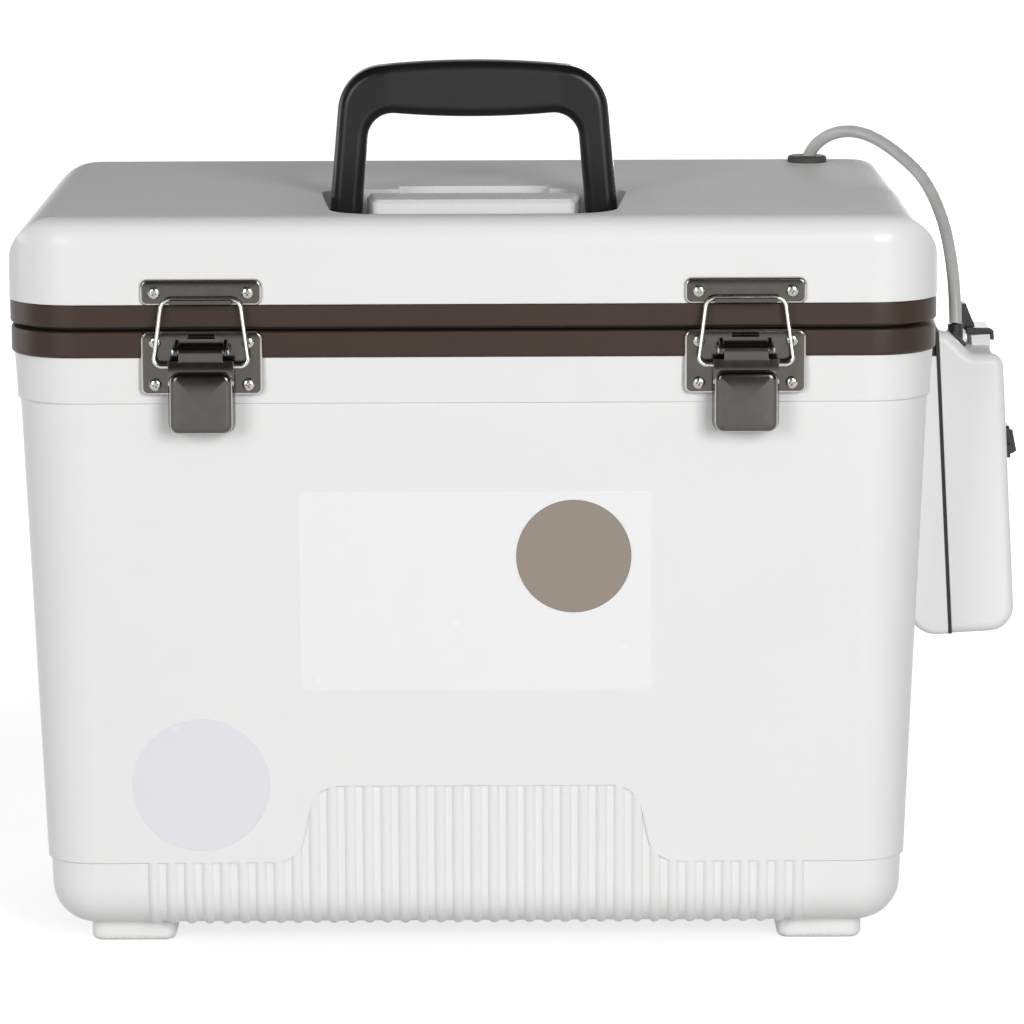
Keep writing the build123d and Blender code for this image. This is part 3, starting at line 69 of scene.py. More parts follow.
class Wire:
    """One output in a finish's nodes; sums written with it become Math nodes."""

    def __init__(self, tree, socket=None):
        self.tree, self.socket = tree, socket

    def node(self, kind, settings=None, sockets=None, output=0):
        """A new node: its settings first, then the values or wires of its sockets."""
        made = self.tree.nodes.new(kind)
        for name, value in (settings or {}).items():
            setattr(made, name, value)
        for name, value in (sockets or {}).items():
            if isinstance(value, Wire):
                self.tree.links.new(value.socket, made.inputs[name])
            else:
                made.inputs[name].default_value = value
        return Wire(self.tree, made.outputs[output]) if made.outputs else None

    def sum_of(self, operation, first, second):
        """A Math node of two values or wires."""
        return self.node("ShaderNodeMath", {"operation": operation}, {0: first, 1: second})

    def __add__(self, other):
        return self.sum_of("ADD", self, other)

    def __sub__(self, other):
        return self.sum_of("SUBTRACT", self, other)

    def __rsub__(self, other):
        return self.sum_of("SUBTRACT", other, self)

    def __mul__(self, other):
        return self.sum_of("MULTIPLY", self, other)

    def __pow__(self, other):
        return self.sum_of("POWER", self, other)

    __radd__, __rmul__ = __add__, __mul__

    def along(self, axis):
        """The place's X, Y or Z, in metres."""
        return self.node("ShaderNodeSeparateXYZ", {}, {0: self}, axis)

    def noise(self, size, detail=2.0, stretch=(1, 1, 1)):
        """Soft random grain, about `size` metres across and drawn out by `stretch`."""
        place = self.node("ShaderNodeVectorMath", {"operation": "DIVIDE"}, {0: self, 1: stretch})
        return place.node(
            "ShaderNodeTexNoise", {}, {"Vector": place, "Scale": 1 / size, "Detail": detail})

    def rise(self, low, high):
        """0 below `low`, 1 above `high`, smooth between."""
        return self.node(
            "ShaderNodeMapRange", {"interpolation_type": "SMOOTHSTEP"},
            {"Value": self, "From Min": low, "From Max": high})

    def tint(self, none, full):
        """The first colour where this wire is 0, the second where it is 1."""
        ends = [c if isinstance(c, Wire) else (*c, 1.0) for c in (none, full)]
        return self.node(
            "ShaderNodeMix", {"data_type": "RGBA"}, {0: self, 6: ends[0], 7: ends[1]}, 2)

    def bump(self, height, normal=None):
        """A Normal that stands up by `height` metres where this wire is 1."""
        sockets = {"Height": self, "Distance": height, "Strength": 1.0}
        return self.node("ShaderNodeBump", {}, {**sockets, **({"Normal": normal} if normal else {})})

    def soft_edge(self, radius):
        """The Normal of edges that are rounded by `radius` metres."""
        return self.node("ShaderNodeBevel", {"samples": 8}, {"Radius": radius})

    def edges(self, radius, low=0.02, high=0.2):
        """1 on the edges of a piece, over about `radius` metres, and 0 on its faces."""
        face = self.node("ShaderNodeNewGeometry", output="Normal")
        even = face.node(
            "ShaderNodeVectorMath", {"operation": "DOT_PRODUCT"},
            {0: self.soft_edge(radius), 1: face}, "Value")
        return (1 - even).rise(low, high)

    def rays(self, *kinds):
        """1 for light rays of any of these kinds, and 0 for the others."""
        found = self.node("ShaderNodeLightPath", output=kinds[0])
        for kind in kinds[1:]:
            found = self.sum_of("MAXIMUM", found, self.node("ShaderNodeLightPath", output=kind))
        return found

    def surface(self, sockets):
        """Ends the finish with these values and wires."""
        skin = self.node("ShaderNodeBsdfPrincipled", {}, sockets)
        self.node("ShaderNodeOutputMaterial", {}, {"Surface": skin})


def new_finish(name):
    """An empty finish, and the wire to the place on the piece."""
    finish = bpy.data.materials.new(name)
    finish.use_nodes = True
    finish.node_tree.nodes.clear()
    return finish, Wire(finish.node_tree).node("ShaderNodeTexCoord", output="Object")


def coat(finish, *solids):
    """Gives the solids of these names their finish."""
    for name in solids:
        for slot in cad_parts[name].material_slots:
            slot.material = finish


def white_moulding(name, tint, rough, grain, grain_size):
    """White polyethylene; `grain` is the depth in metres of the texture in the mould."""
    finish, place = new_finish(name)
    cloudy = place.noise(0.045, 3.0)
    shade = cloudy.tint(tuple(0.975 * c for c in tint), tint)
    ripple = place.noise(0.03, 1.0).bump(0.00008, place.soft_edge(0.0006))
    place.surface({
        "Base Color": shade,
        "Roughness": rough + 0.05 * place.noise(0.004, 2.0),
        "Normal": place.noise(grain_size, 2.0).bump(grain, ripple),
        "IOR": 1.5,
        "Specular IOR Level": 0.45,
        "Subsurface Weight": 0.06,
        "Subsurface Radius": (0.003, 0.003, 0.003),
    })
    return finish


tub_white = white_moulding("tub_white", (0.87, 0.87, 0.865), 0.3, 0.00001, 0.0011)
coat(tub_white, "case_shell")

# ---------------------------------------------------------------- liner and foam of the case
# The inner tub is a second white moulding, smoother for rinsing out, and the space between
# the two is filled with cream rigid foam, which shows only when the case is cut open.
liner_white = white_moulding("liner_white", (0.84, 0.84, 0.83), 0.24, 0.000006, 0.0009)
coat(liner_white, "case_liner")

rigid_foam, place = new_finish("rigid_foam")
cells = place.node("ShaderNodeTexVoronoi", {}, {"Vector": place, "Scale": 900.0})
rigid_foam_tint = cells.rise(0.0, 0.7).tint((0.74, 0.63, 0.42), (0.88, 0.8, 0.6))
place.surface({"Base Color": rigid_foam_tint, "Roughness": 0.9, "Normal": cells.bump(0.0002)})
coat(rigid_foam, "case_foam")

# ---------------------------------------------------------------- band round the case
# A brown moulded band caps the tub all round and takes the lid's weight. It has a satin
# skin with a fine mould grain, and its edges have been rubbed a little paler.
band_brown, place = new_finish("band_brown")
rubbed = place.edges(0.0009, 0.03, 0.25)
brown = place.noise(0.03, 3.0).tint((0.0335, 0.0172, 0.0104), (0.0425, 0.0228, 0.0142))
place.surface({
    "Base Color": (rubbed * 0.3).tint(brown, (0.12, 0.085, 0.065)),
    "Roughness": 0.34 + 0.12 * place.noise(0.0015, 2.0),
    "Normal": place.noise(0.0007, 2.0).bump(0.000012, place.soft_edge(0.0009)),
    "Specular IOR Level": 0.32,
})
coat(band_brown, "case_rim_band")

# ---------------------------------------------------------------- feet
# Four short feet of the tub's own white plastic, a shade duller, scuffed where they meet
# the deck.
feet_white, place = new_finish("feet_white")
scuffed = (1 - place.along("Z").rise(0.0, 0.003)) * place.noise(0.0016, 4.0, (1, 3, 1)).rise(0.4, 0.75)
place.surface({
    "Base Color": (scuffed * 0.6).tint((0.83, 0.83, 0.82), (0.42, 0.41, 0.39)),
    "Roughness": 0.42 + 0.2 * scuffed,
    "Normal": place.noise(0.0009, 2.0).bump(0.00002, place.soft_edge(0.0008)),
})
coat(feet_white, "feet")

# ---------------------------------------------------------------- front stickers
# Two printed vinyl films stuck flat on the front wall, left without words: a wide clear one
# with a brown roundel near its right end, and a pale round one low on the left.
sticker_vinyl, place = new_finish("sticker_vinyl")
across, up = place.along("X"), place.along("Z")
roundel_at, disc_at = (0.0459, 0.1897), (-0.1281, 0.0809)


def from_centre(x, z):
    """Distance on the front wall from a point of it, in metres."""
    return ((across - x) ** 2 + (up - z) ** 2) ** 0.5


roundel = 1 - from_centre(*roundel_at).rise(0.02655, 0.0268)
ring = 1 - from_centre(*roundel_at).rise(0.0261, 0.0264)
disc = 1 - from_centre(*disc_at).rise(0.0335, 0.034)
film = disc.tint((0.9, 0.9, 0.9), (0.8, 0.795, 0.83))
ink = ring.tint((0.25, 0.2, 0.14), (0.29, 0.245, 0.2))
place.surface({
    "Base Color": roundel.tint(film, ink),
    "Roughness": 0.2 + 0.1 * place.noise(0.02, 2.0),
    "Normal": place.noise(0.02, 2.0).bump(0.00002),
    "Coat Weight": 0.3,
})
coat(sticker_vinyl, "front_labels")

# ---------------------------------------------------------------- rear hinges
# Two steel butt hinges, plated dark, screwed to the bands, with bright pins through their
# rolled knuckles.


def plated(name, metal, bare, rough, edge_radius, wear):
    """Plate over steel, rubbed through to `bare` on its edges by the share `wear`."""
    finish, place = new_finish(name)
    worn = place.edges(edge_radius, 0.05, 0.4) * place.noise(0.0025, 4.0).rise(0.25, 0.6)
    smear = place.noise(0.006, 3.0)
    place.surface({
        "Base Color": (worn * wear).tint(smear.tint(metal, tuple(0.8 * c for c in metal)), bare),
        "Metallic": 1.0,
        "Roughness": rough + 0.1 * smear,
        "Normal": place.noise(0.0005, 2.0).bump(0.000004, place.soft_edge(edge_radius)),
    })
    return finish


dark_plate = plated("dark_plate", (0.23, 0.22, 0.21), (0.6, 0.58, 0.55), 0.26, 0.0004, 0.7)
bright_plate = plated("bright_plate", (0.66, 0.64, 0.6), (0.8, 0.78, 0.74), 0.16, 0.0003, 0.5)
coat(dark_plate, "hinge_case_leaves", "hinge_lid_leaves")
coat(bright_plate, "hinge_pins")

# ---------------------------------------------------------------- lid
# The lid is a foam-filled white moulding with a deep round shoulder. Its top has a fine leathery
# texture from the mould and is rougher than the gloss walls; its colour there is painted a darker
# grey, a painted shade for the top lying in less light.
lid_white, place = new_finish("lid_white")
top_grain_and_shade = place.along("Z").rise(0.3425, 0.3475)
cloudy = place.noise(0.05, 3.0).tint((0.85, 0.85, 0.845), (0.87, 0.87, 0.865))
pebble = place.node("ShaderNodeTexVoronoi", {"feature": "SMOOTH_F1"}, {"Vector": place, "Scale": 950.0})
ripple = place.noise(0.03, 1.0).bump(0.00008, place.soft_edge(0.0006))
place.surface({
    # Painted shade: the top is coloured grey where the lamps light it less.
    "Base Color": (top_grain_and_shade * 0.35).tint(cloudy, (0.6, 0.6, 0.595)),
    "Roughness": 0.28 + 0.4 * top_grain_and_shade + 0.05 * place.noise(0.004, 2.0),
    "Normal": (top_grain_and_shade * pebble).bump(0.00022, ripple),
    "Specular IOR Level": 0.4,
    "Subsurface Weight": 0.06,
    "Subsurface Radius": (0.003, 0.003, 0.003),
})
coat(lid_white, "lid_shell")
coat(liner_white, "lid_liner")
coat(rigid_foam, "lid_foam")
coat(band_brown, "lid_band")

# ---------------------------------------------------------------- lid gasket
# A soft black rubber seal sits in the underside of the lid and is pressed on the liner's rim.


def rubber(name, tint, size=0.0012):
    """Matt moulded rubber with a dusty bloom."""
    finish, place = new_finish(name)
    bloom = place.noise(0.01, 4.0).rise(0.45, 0.75)
    place.surface({
        "Base Color": (bloom * 0.5).tint(tint, tuple(c + 0.025 for c in tint)),
        "Roughness": 0.62 + 0.2 * bloom,
        "Normal": place.noise(size, 3.0).bump(0.00003, place.soft_edge(0.0005)),
    })
    return finish


black_rubber = rubber("black_rubber", (0.018, 0.018, 0.019))
coat(black_rubber, "lid_gasket", "pump_seal")

# ---------------------------------------------------------------- handle
# A fold-down carrying handle of dark filled nylon, with a fine grain on the grip, turns on
# two short steel pins in the walls of its well.
handle_nylon, place = new_finish("handle_nylon")
grip = place.along("Z").rise(0.385, 0.39) * (1 - place.along("X").rise(0.036, 0.044)) * (
    place.along("X").rise(-0.044, -0.036))
grain = place.node("ShaderNodeTexVoronoi", {"feature": "SMOOTH_F1"}, {"Vector": place, "Scale": 1100.0})
place.surface({
    "Base Color": place.noise(0.02, 3.0).tint((0.0075, 0.0067, 0.0063), (0.0105, 0.0095, 0.009)),
    "Roughness": 0.26 + 0.2 * grip + 0.06 * place.noise(0.003, 2.0),
    "Normal": (grip * grain).bump(0.00004),
    "Specular IOR Level": 0.32,
})
coat(handle_nylon, "handle")
coat(bright_plate, "handle_pins")

# ---------------------------------------------------------------- latches
# Two draw latches of pressed steel, plated black nickel. The highlights along the rolled edges
# of their plates, the thumb pad's rim and the lever's cheeks are painted on, as a brighter copy of
# the plate. Each has a screwed base plate with two ears and a pin, a lever with a domed thumb pad,
# and a hooked keeper on the lid, which the bright wire bail pulls down.
black_nickel = plated("black_nickel", (0.115, 0.108, 0.102), (0.4, 0.39, 0.37), 0.13, 0.0004, 0.5)
# A brighter copy of the plate, used as a painted highlight on the rolled edges and cheeks of the pressings,
# and as the pale nickel of the rivets.
bright_nickel_and_painted_highlight = plated("bright_nickel_and_painted_highlight", (0.6, 0.575, 0.54), (0.78, 0.75, 0.7), 0.16, 0.0002, 0.4)


def link(name, mesh, *finishes):
    """A new piece of this mesh and these finishes."""
    piece = bpy.data.objects.new(name, mesh)
    for finish in finishes:
        mesh.materials.append(finish)
    bpy.context.collection.objects.link(piece)
    return piece


def mesh_of(shape, name):
    """The finished mesh of a bmesh, smooth except at its sharp edges."""
    for face in shape.faces:
        face.smooth = True
    for edge in shape.edges:
        edge.smooth = len(edge.link_faces) == 2 and edge.calc_face_angle(0) < radians(35)
    mesh = bpy.data.meshes.new(name)
    shape.to_mesh(mesh)
    shape.free()
    return mesh


def rounded(half_x, low_z, high_z, corner, inset):
    """A rectangle with round corners, seen from the front, moved in by `inset`."""
    r, points = max(corner - inset, 0.0002), []
    for turn, (x, z) in enumerate(((1, 1), (-1, 1), (-1, -1), (1, -1))):
        centre_x = x * (half_x - inset - r)
        centre_z = (high_z - inset - r) if z > 0 else (low_z + inset + r)
        angles = [(turn + k / 6) * pi / 2 for k in range(7)]
        points += [(centre_x + r * cos(a), centre_z + r * sin(a)) for a in angles]
    return points


def pressing(shape, x, half_x, low_z, high_z, corner, steps, painted_highlight=()):
    """Adds a pressed form whose outline moves in and forward by the steps (inset, y); the faces between the
    steps whose numbers are listed last take the second finish, a painted highlight.
    """
    rings = [[shape.verts.new((x + px, y, pz)) for px, pz in rounded(half_x, low_z, high_z, corner, inset)]
             for inset, y in steps]
    for n, (back, front) in enumerate(zip(rings, rings[1:])):
        for i in range(len(back)):
            j = (i + 1) % len(back)
            shape.faces.new((back[i], back[j], front[j], front[i])).material_index = int(n in painted_highlight)
    shape.faces.new(rings[0])
    shape.faces.new(rings[-1][::-1])


def rolled(front, radius, count=5):
    """Steps of an edge that rolls over to the front with this radius."""
    return [(radius * (1 - cos(k * pi / 2 / count)), front + radius * (1 - sin(k * pi / 2 / count)))
            for k in range(count + 1)]


def rod(shape, x0, x1, y, z, radius, sides=24):
    """Adds a round rod along X, with softened ends."""
    soft = 0.2 * radius
    stops = [(x0, radius - soft), (x0 + soft, radius), (x1 - soft, radius), (x1, radius - soft)]
    rings = [[shape.verts.new((x, y + r * cos(tau * k / sides), z + r * sin(tau * k / sides)))
              for k in range(sides)] for x, r in stops]
    for low, high in zip(rings, rings[1:]):
        for k in range(sides):
            j = (k + 1) % sides
            shape.faces.new((low[k], low[j], high[j], high[k]))
    for end in (rings[0], rings[-1][::-1]):
        shape.faces.new(end)


def strip(shape, x0, x1, profile, painted_highlight=False):
    """Adds a bar along X with this closed outline of (y, z) points; if its last argument is true, all its
    faces take the second finish, a painted highlight.
    """
    sides = [[shape.verts.new((x, y, z)) for y, z in profile] for x in (x0, x1)]
    for i in range(len(profile)):
        j = (i + 1) % len(profile)
        shape.faces.new((sides[0][i], sides[0][j], sides[1][j], sides[1][i])).material_index = painted_highlight
    for end in (sides[0], sides[1][::-1]):
        shape.faces.new(end).material_index = painted_highlight


def sheet_bend(points, thick):
    """The closed outline of a sheet that is bent along these (y, z) points."""
    near, far = [], []
    for i, (y, z) in enumerate(points):
        (y0, z0), (y1, z1) = points[max(i - 1, 0)], points[min(i + 1, len(points) - 1)]
        run = ((y1 - y0) ** 2 + (z1 - z0) ** 2) ** 0.5
        off = (thick / 2 * (z1 - z0) / run, -thick / 2 * (y1 - y0) / run)
        near.append((y + off[0], z + off[1]))
        far.append((y - off[0], z - off[1]))
    return near + far[::-1]


def arc(y, z, radius, start, stop, count=10):
    """Points (y, z) on an arc about a centre, in degrees up from the front."""
    return [(y - radius * cos(radians(start + (stop - start) * k / count)),
             z + radius * sin(radians(start + (stop - start) * k / count))) for k in range(count + 1)]


def pressed_piece(name, shape, body, solid):
    """Ends a pressing of black nickel with painted highlights on its edges, in place of its solid."""
    bmesh.ops.recalc_face_normals(shape, faces=shape.faces)
    piece = link(name, mesh_of(shape, name), black_nickel, bright_nickel_and_painted_highlight)
    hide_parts(solid)
    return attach(piece, body)


latch_x = 0.1245                    # from the middle of the box to the middle of a latch
pivot_y, pivot_z = -0.142, 0.288    # the pin on which a lever turns
base_y, keeper_y = -0.1353, -0.136  # front faces of the base plate and the keeper
plate_half, plate_corner, plate_roll = 0.028, 0.0034, 0.0015
for side, x in (("left", -latch_x), ("right", latch_x)):
    base = bmesh.new()
    plate = [(0, base_y + 0.002)] + rolled(base_y, plate_roll) + [(0.004, base_y)]
    # The plate's rolled edge takes the painted highlight.
    pressing(base, x, plate_half, 0.2668, 0.2964, plate_corner, plate, (1, 2, 3, 4))
    eye = arc(pivot_y, pivot_z, 0.0027, 75, -60)
    for ear in (-0.01195, 0.01035):
        strip(base, x + ear, x + ear + 0.0016, [(-0.1352, 0.2848), (-0.1352, 0.2924)] + eye)
    stop = [(-0.1352, 0.2949), (-0.1358, 0.2946), (-0.1361, 0.294), (-0.1358, 0.2934), (-0.1352, 0.2931)]
    strip(base, x - 0.0062, x + 0.0062, sheet_bend(stop, 0.0003))
    pressed_piece(side + "_latch_plate", base, "case", side + "_latch_base_plate")

    lever = bmesh.new()
    skirt = [(0, -0.136), (0, -0.1392), (0.0008, -0.1424)]
    shoulder = [(inset + 0.0008, y) for inset, y in rolled(-0.1466, 0.003, 7)]
    dome = [(0.0062, -0.14685), (0.0095, -0.147), (0.0125, -0.14708)]
    # The rim of the thumb pad takes the painted highlight.
    pressing(lever, x, 0.0153, 0.2494, 0.2796, 0.0052, skirt + shoulder + dome, (4, 5))
    neck = [(-0.1436, 0.2745), (-0.1438, 0.278), (-0.1436, 0.2815), (-0.1431, 0.2838)]
    strip(lever, x - 0.015, x + 0.015, sheet_bend(neck, 0.0014))
    curl = [(-0.1433, 0.2832), (-0.1439, 0.286)] + arc(pivot_y, pivot_z, 0.0019, 10, 250, 16)
    strip(lever, x - 0.0101, x + 0.0101, sheet_bend(curl, 0.0009))
    cheek = [(-0.1432, 0.2836), (-0.137, 0.2812), (-0.1364, 0.2796), (-0.1364, 0.2725), (-0.1436, 0.2725)]
    # The cheeks take the painted highlight all over.
    for edge in (-0.015, 0.0138):
        strip(lever, x + edge, x + edge + 0.0012, cheek, True)
    rod(lever, x - 0.0152, x + 0.0152, -0.141, 0.281, 0.0009)
    pressed_piece(side + "_latch_handle", lever, side + "_lever", side + "_latch_lever")

    keeper = bmesh.new()
    plate = [(0, keeper_y + 0.002)] + rolled(keeper_y, plate_roll) + [(0.004, keeper_y)]
    # The keeper's rolled edge takes the painted highlight.
    pressing(keeper, x, plate_half, 0.3082, 0.3204, plate_corner, plate, (1, 2, 3, 4))
    hook = [(-0.1356, 0.3094), (-0.1385, 0.3093), (-0.1405, 0.30935)]
    hook += arc(-0.1405, 0.3109, 0.00165, -90, 0, 6) + [(-0.1421, 0.3116)]
    strip(keeper, x - 0.0142, x + 0.0142, sheet_bend(hook, 0.0011))
    pressed_piece(side + "_latch_hook", keeper, "lid", side + "_latch_keeper")

    pin = bmesh.new()
    for end in (-1, 1):
        head = x + end * 0.01255
        rod(pin, head - 0.0006, head + 0.0006, pivot_y, pivot_z, 0.0023)
    rod(pin, x - 0.012, x + 0.012, pivot_y, pivot_z, 0.0012)
    bmesh.ops.recalc_face_normals(pin, faces=pin.faces)
    rivet = link(side + "_latch_rivet", mesh_of(pin, side + "_latch_rivet"), bright_nickel_and_painted_highlight)
    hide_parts(side + "_latch_pin")
    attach(rivet, "case")
    coat(bright_plate, side + "_latch_bail")

# ---------------------------------------------------------------- screws
# Bright pan-head screws with a cross recess hold the latches, the hinges and the pump's
# bracket. Each was driven by hand, so the crosses stand at different angles.


def lathe(outline, turns=48):
    """A closed mesh from points (radius, height) turned round Z, first and last on the axis."""
    shape = bmesh.new()
    rings = [
        [shape.verts.new((r * cos(tau * i / turns), r * sin(tau * i / turns), z)) for i in range(turns)]
        if r > 1e-9 else [shape.verts.new((0, 0, z))] for r, z in outline]
    for low, high in zip(rings, rings[1:]):
        for i in range(turns):
            j = (i + 1) % turns
            corners = [low[i % len(low)], low[j % len(low)], high[j % len(high)], high[i % len(high)]]
            shape.faces.new(list(dict.fromkeys(corners)))
    bmesh.ops.recalc_face_normals(shape, faces=shape.faces)
    return shape


def cross_head(radius):
    """A pan head of this radius, with its seat at Z 0 and a cross recess cut in its crown."""
    crown = [(radius * cos(a), 0.16 * radius + 0.39 * radius * sin(a))
             for a in (0, 0.25, 0.5, 0.75, 1.0, 1.2, 1.35, 1.47)]
    outline = [(0, -0.0004), (radius, -0.0004)] + crown + [(0, 0.55 * radius)]
    head = link("screw_blank", mesh_of(lathe(outline), "screw_blank"))
    cutter = bmesh.new()
    for turn in (0, pi / 2):
        bar = bmesh.ops.create_cube(cutter, size=1.0)["verts"]
        for v in bar:
            share = 1.0 if v.co.z > 0 else 0.45
            v.co = Vector((v.co.x * 1.18 * radius * share, v.co.y * 0.27 * radius * share ** 0.4,
                           0.12 * radius if v.co.z < 0 else 0.8 * radius))
        bmesh.ops.rotate(cutter, verts=bar, matrix=Matrix.Rotation(turn, 3, "Z"))
    cross = link("cross_cutter", mesh_of(cutter, "cross_cutter"))
    cut = head.modifiers.new("cut", "BOOLEAN")
    cut.object, cut.solver, cut.use_self = cross, "EXACT", True
    bpy.context.view_layer.update()
    mesh = bpy.data.meshes.new_from_object(head.evaluated_get(bpy.context.evaluated_depsgraph_get()))
    for spare in (head, cross):
        bpy.data.objects.remove(spare)
    return mesh


def screw_row(solid, body, radius, facing, places, first_turn):
    """The heads of one row of screws, each turned a little further than the last."""
    head, row = cross_head(radius), bmesh.new()
    for i, place in enumerate(places):
        start = len(row.verts)
        row.from_mesh(head)
        row.verts.ensure_lookup_table()
        turned = Matrix.Translation(place) @ Vector(facing).to_track_quat("Z", "Y").to_matrix().to_4x4()
        bmesh.ops.transform(
            row, matrix=turned @ Matrix.Rotation(first_turn + 0.71 * i, 4, "Z"), verts=row.verts[start:])
    piece = link(solid + "_heads", mesh_of(row, solid + "_heads"), screw_nickel)
    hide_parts(solid)
    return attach(piece, body)


screw_nickel = plated("screw_nickel", (0.5, 0.48, 0.45), (0.72, 0.7, 0.66), 0.16, 0.00015, 0.5)
latch_head, hinge_head = 0.0029, 0.0026    # radii of the two sizes of head
latch_xs = [x + dx for x in (-latch_x, latch_x) for dx in (-0.0213, 0.0213)]
hinge_xs = [x + dx for x in (-0.12, 0.12) for dx in (-0.015, 0.015)]
base_places = [(x, base_y, z) for x in latch_xs for z in (0.2718, 0.2914)]
keeper_places = [(x, keeper_y, 0.3143) for x in latch_xs]
leaf_places = [(x, 0.1353, 0.2885) for x in hinge_xs]
lid_leaf_places = [(x, 0.136, 0.31135) for x in hinge_xs]
bracket_places = [(0.2144, y, 0.2772) for y in (-0.034, 0.034)]
screw_row("latch_base_screws", "case", latch_head, (0, -1, 0), base_places, 0.4)
screw_row("keeper_screws", "lid", latch_head, (0, -1, 0), keeper_places, 0.9)
screw_row("case_hinge_screws", "case", hinge_head, (0, 1, 0), leaf_places, 0.2)
screw_row("lid_hinge_screws", "lid", hinge_head, (0, 1, 0), lid_leaf_places, 1.1)
screw_row("pump_bracket_screws", "case", hinge_head, (1, 0, 0), bracket_places, 0.7)

# ---------------------------------------------------------------- air pump
# The battery air pump is a white two-part case round a rubber seal. Its hanger drops into a
# black bracket on the end wall, and a black catch over the top holds the halves together.
pump_white = white_moulding("pump_white", (0.9, 0.9, 0.895), 0.34, 0.000014, 0.001)
coat(pump_white, "pump_inner_shell", "pump_outer_shell")

satin_black, place = new_finish("satin_black")
place.surface({
    "Base Color": place.noise(0.01, 3.0).tint((0.013, 0.013, 0.014), (0.022, 0.022, 0.023)),
    "Roughness": 0.34 + 0.14 * place.noise(0.002, 3.0),
    "Normal": place.noise(0.0006, 2.0).bump(0.00002, place.soft_edge(0.0004)),
})
coat(satin_black, "pump_bracket", "pump_hanger", "pump_nipple", "pump_latch")
coat(satin_black, "pump_switch_housing", "pump_switch")
coat(bright_plate, "pump_screws", "pump_latch_pin")

# ---------------------------------------------------------------- inside the pump
# Two dry cells in dark shrink sleeves, a small round motor and the grey air unit that it
# drives.
cell_sleeve, place = new_finish("cell_sleeve")
place.surface({
    "Base Color": place.along("Z").rise(0.2, 0.2006).tint((0.02, 0.02, 0.022), (0.3, 0.2, 0.06)),
    "Roughness": 0.3 + 0.15 * place.noise(0.004, 2.0),
    "Normal": place.noise(0.003, 2.0).bump(0.00004, place.soft_edge(0.0006)),
})
coat(cell_sleeve, "pump_batteries")
coat(plated("motor_can", (0.5, 0.5, 0.5), (0.7, 0.7, 0.7), 0.34, 0.0004, 0.4), "pump_motor")
grey_moulding, place = new_finish("grey_moulding")
place.surface({
    "Base Color": place.noise(0.01, 3.0).tint((0.2, 0.2, 0.21), (0.25, 0.25, 0.26)),
    "Roughness": 0.42 + 0.1 * place.noise(0.002, 2.0),
    "Normal": place.noise(0.0007, 2.0).bump(0.00002, place.soft_edge(0.0005)),
})
coat(grey_moulding, "pump_air_unit")

# ---------------------------------------------------------------- air hose
# A milky silicone hose, 6 mm across, is pushed over the pump's nipple, rises in a loose arch
# and drops through the grommet in the lid. Its wall glows a little where light gets in.
hose_radius = 0.003
hose_silicone, place = new_finish("hose_silicone")
place.surface({
    "Base Color": place.noise(0.01, 3.0).tint((0.5, 0.5, 0.49), (0.62, 0.62, 0.61)),
    "Roughness": 0.24 + 0.12 * place.noise(0.006, 3.0),
    "Normal": place.noise(0.004, 2.0).bump(0.00003),
    "Subsurface Weight": 0.5,
    "Subsurface Radius": (0.004, 0.004, 0.004),
    "IOR": 1.41,
})


def flexed(points):
    """Points along the smooth line that a hose takes through its route, in metres."""
    curve = bpy.data.curves.new("route", "CURVE")
    curve.dimensions = "3D"
    curve.resolution_u = 10
    line = curve.splines.new("NURBS")
    line.points.add(len(points) - 1)
    for knot, at in zip(line.points, points):
        knot.co = (*at, 1)
    line.order_u, line.use_endpoint_u = 3, True
    route = bpy.data.objects.new("route", curve)
    bpy.context.collection.objects.link(route)
    bpy.context.view_layer.update()
    mesh = bpy.data.meshes.new_from_object(route.evaluated_get(bpy.context.evaluated_depsgraph_get()))
    bpy.data.objects.remove(route)
    return [v.co.copy() for v in mesh.vertices]


def hose(name, line, sides=28):
    """The hose along a line, closed at its ends."""
    shape, rings = bmesh.new(), []
    heading = (line[1] - line[0]).normalized()
    side = heading.orthogonal().normalized()
    for i, at in enumerate(line):
        ahead_of = line[min(i + 1, len(line) - 1)] - line[max(i - 1, 0)]
        ahead_of.normalize()
        side = (side - ahead_of * side.dot(ahead_of)).normalized()
        across_it = ahead_of.cross(side)
        spokes = [side * cos(tau * k / sides) + across_it * sin(tau * k / sides) for k in range(sides)]
        rings.append([shape.verts.new(at + hose_radius * spoke) for spoke in spokes])
    for low, high in zip(rings, rings[1:]):
        for k in range(sides):
            j = (k + 1) % sides
            shape.faces.new((low[k], low[j], high[j], high[k]))
    for end in (rings[0], rings[-1]):
        shape.faces.new(end)
    bmesh.ops.recalc_face_normals(shape, faces=shape.faces)
    return link(name, mesh_of(shape, name), hose_silicone)


outer_route = [
    (0.2305, -0.028, 0.28445), (0.2303, -0.0262, 0.297), (0.2294, -0.018, 0.312), (0.2273, -0.004, 0.328),
    (0.2234, 0.013, 0.3405), (0.2186, 0.0295, 0.3492), (0.2121, 0.0445, 0.3552), (0.205, 0.058, 0.3604),
    (0.1986, 0.0695, 0.3638), (0.1923, 0.079, 0.3656), (0.1866, 0.0868, 0.3657), (0.181, 0.0934, 0.3643),
    (0.1759, 0.0992, 0.3615), (0.1714, 0.1046, 0.3572), (0.1686, 0.1086, 0.3522), (0.1675, 0.11, 0.3488)]
line = flexed(outer_route)
air_hose = hose("air_hose_run", line)
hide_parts("air_hose")
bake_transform(air_hose)

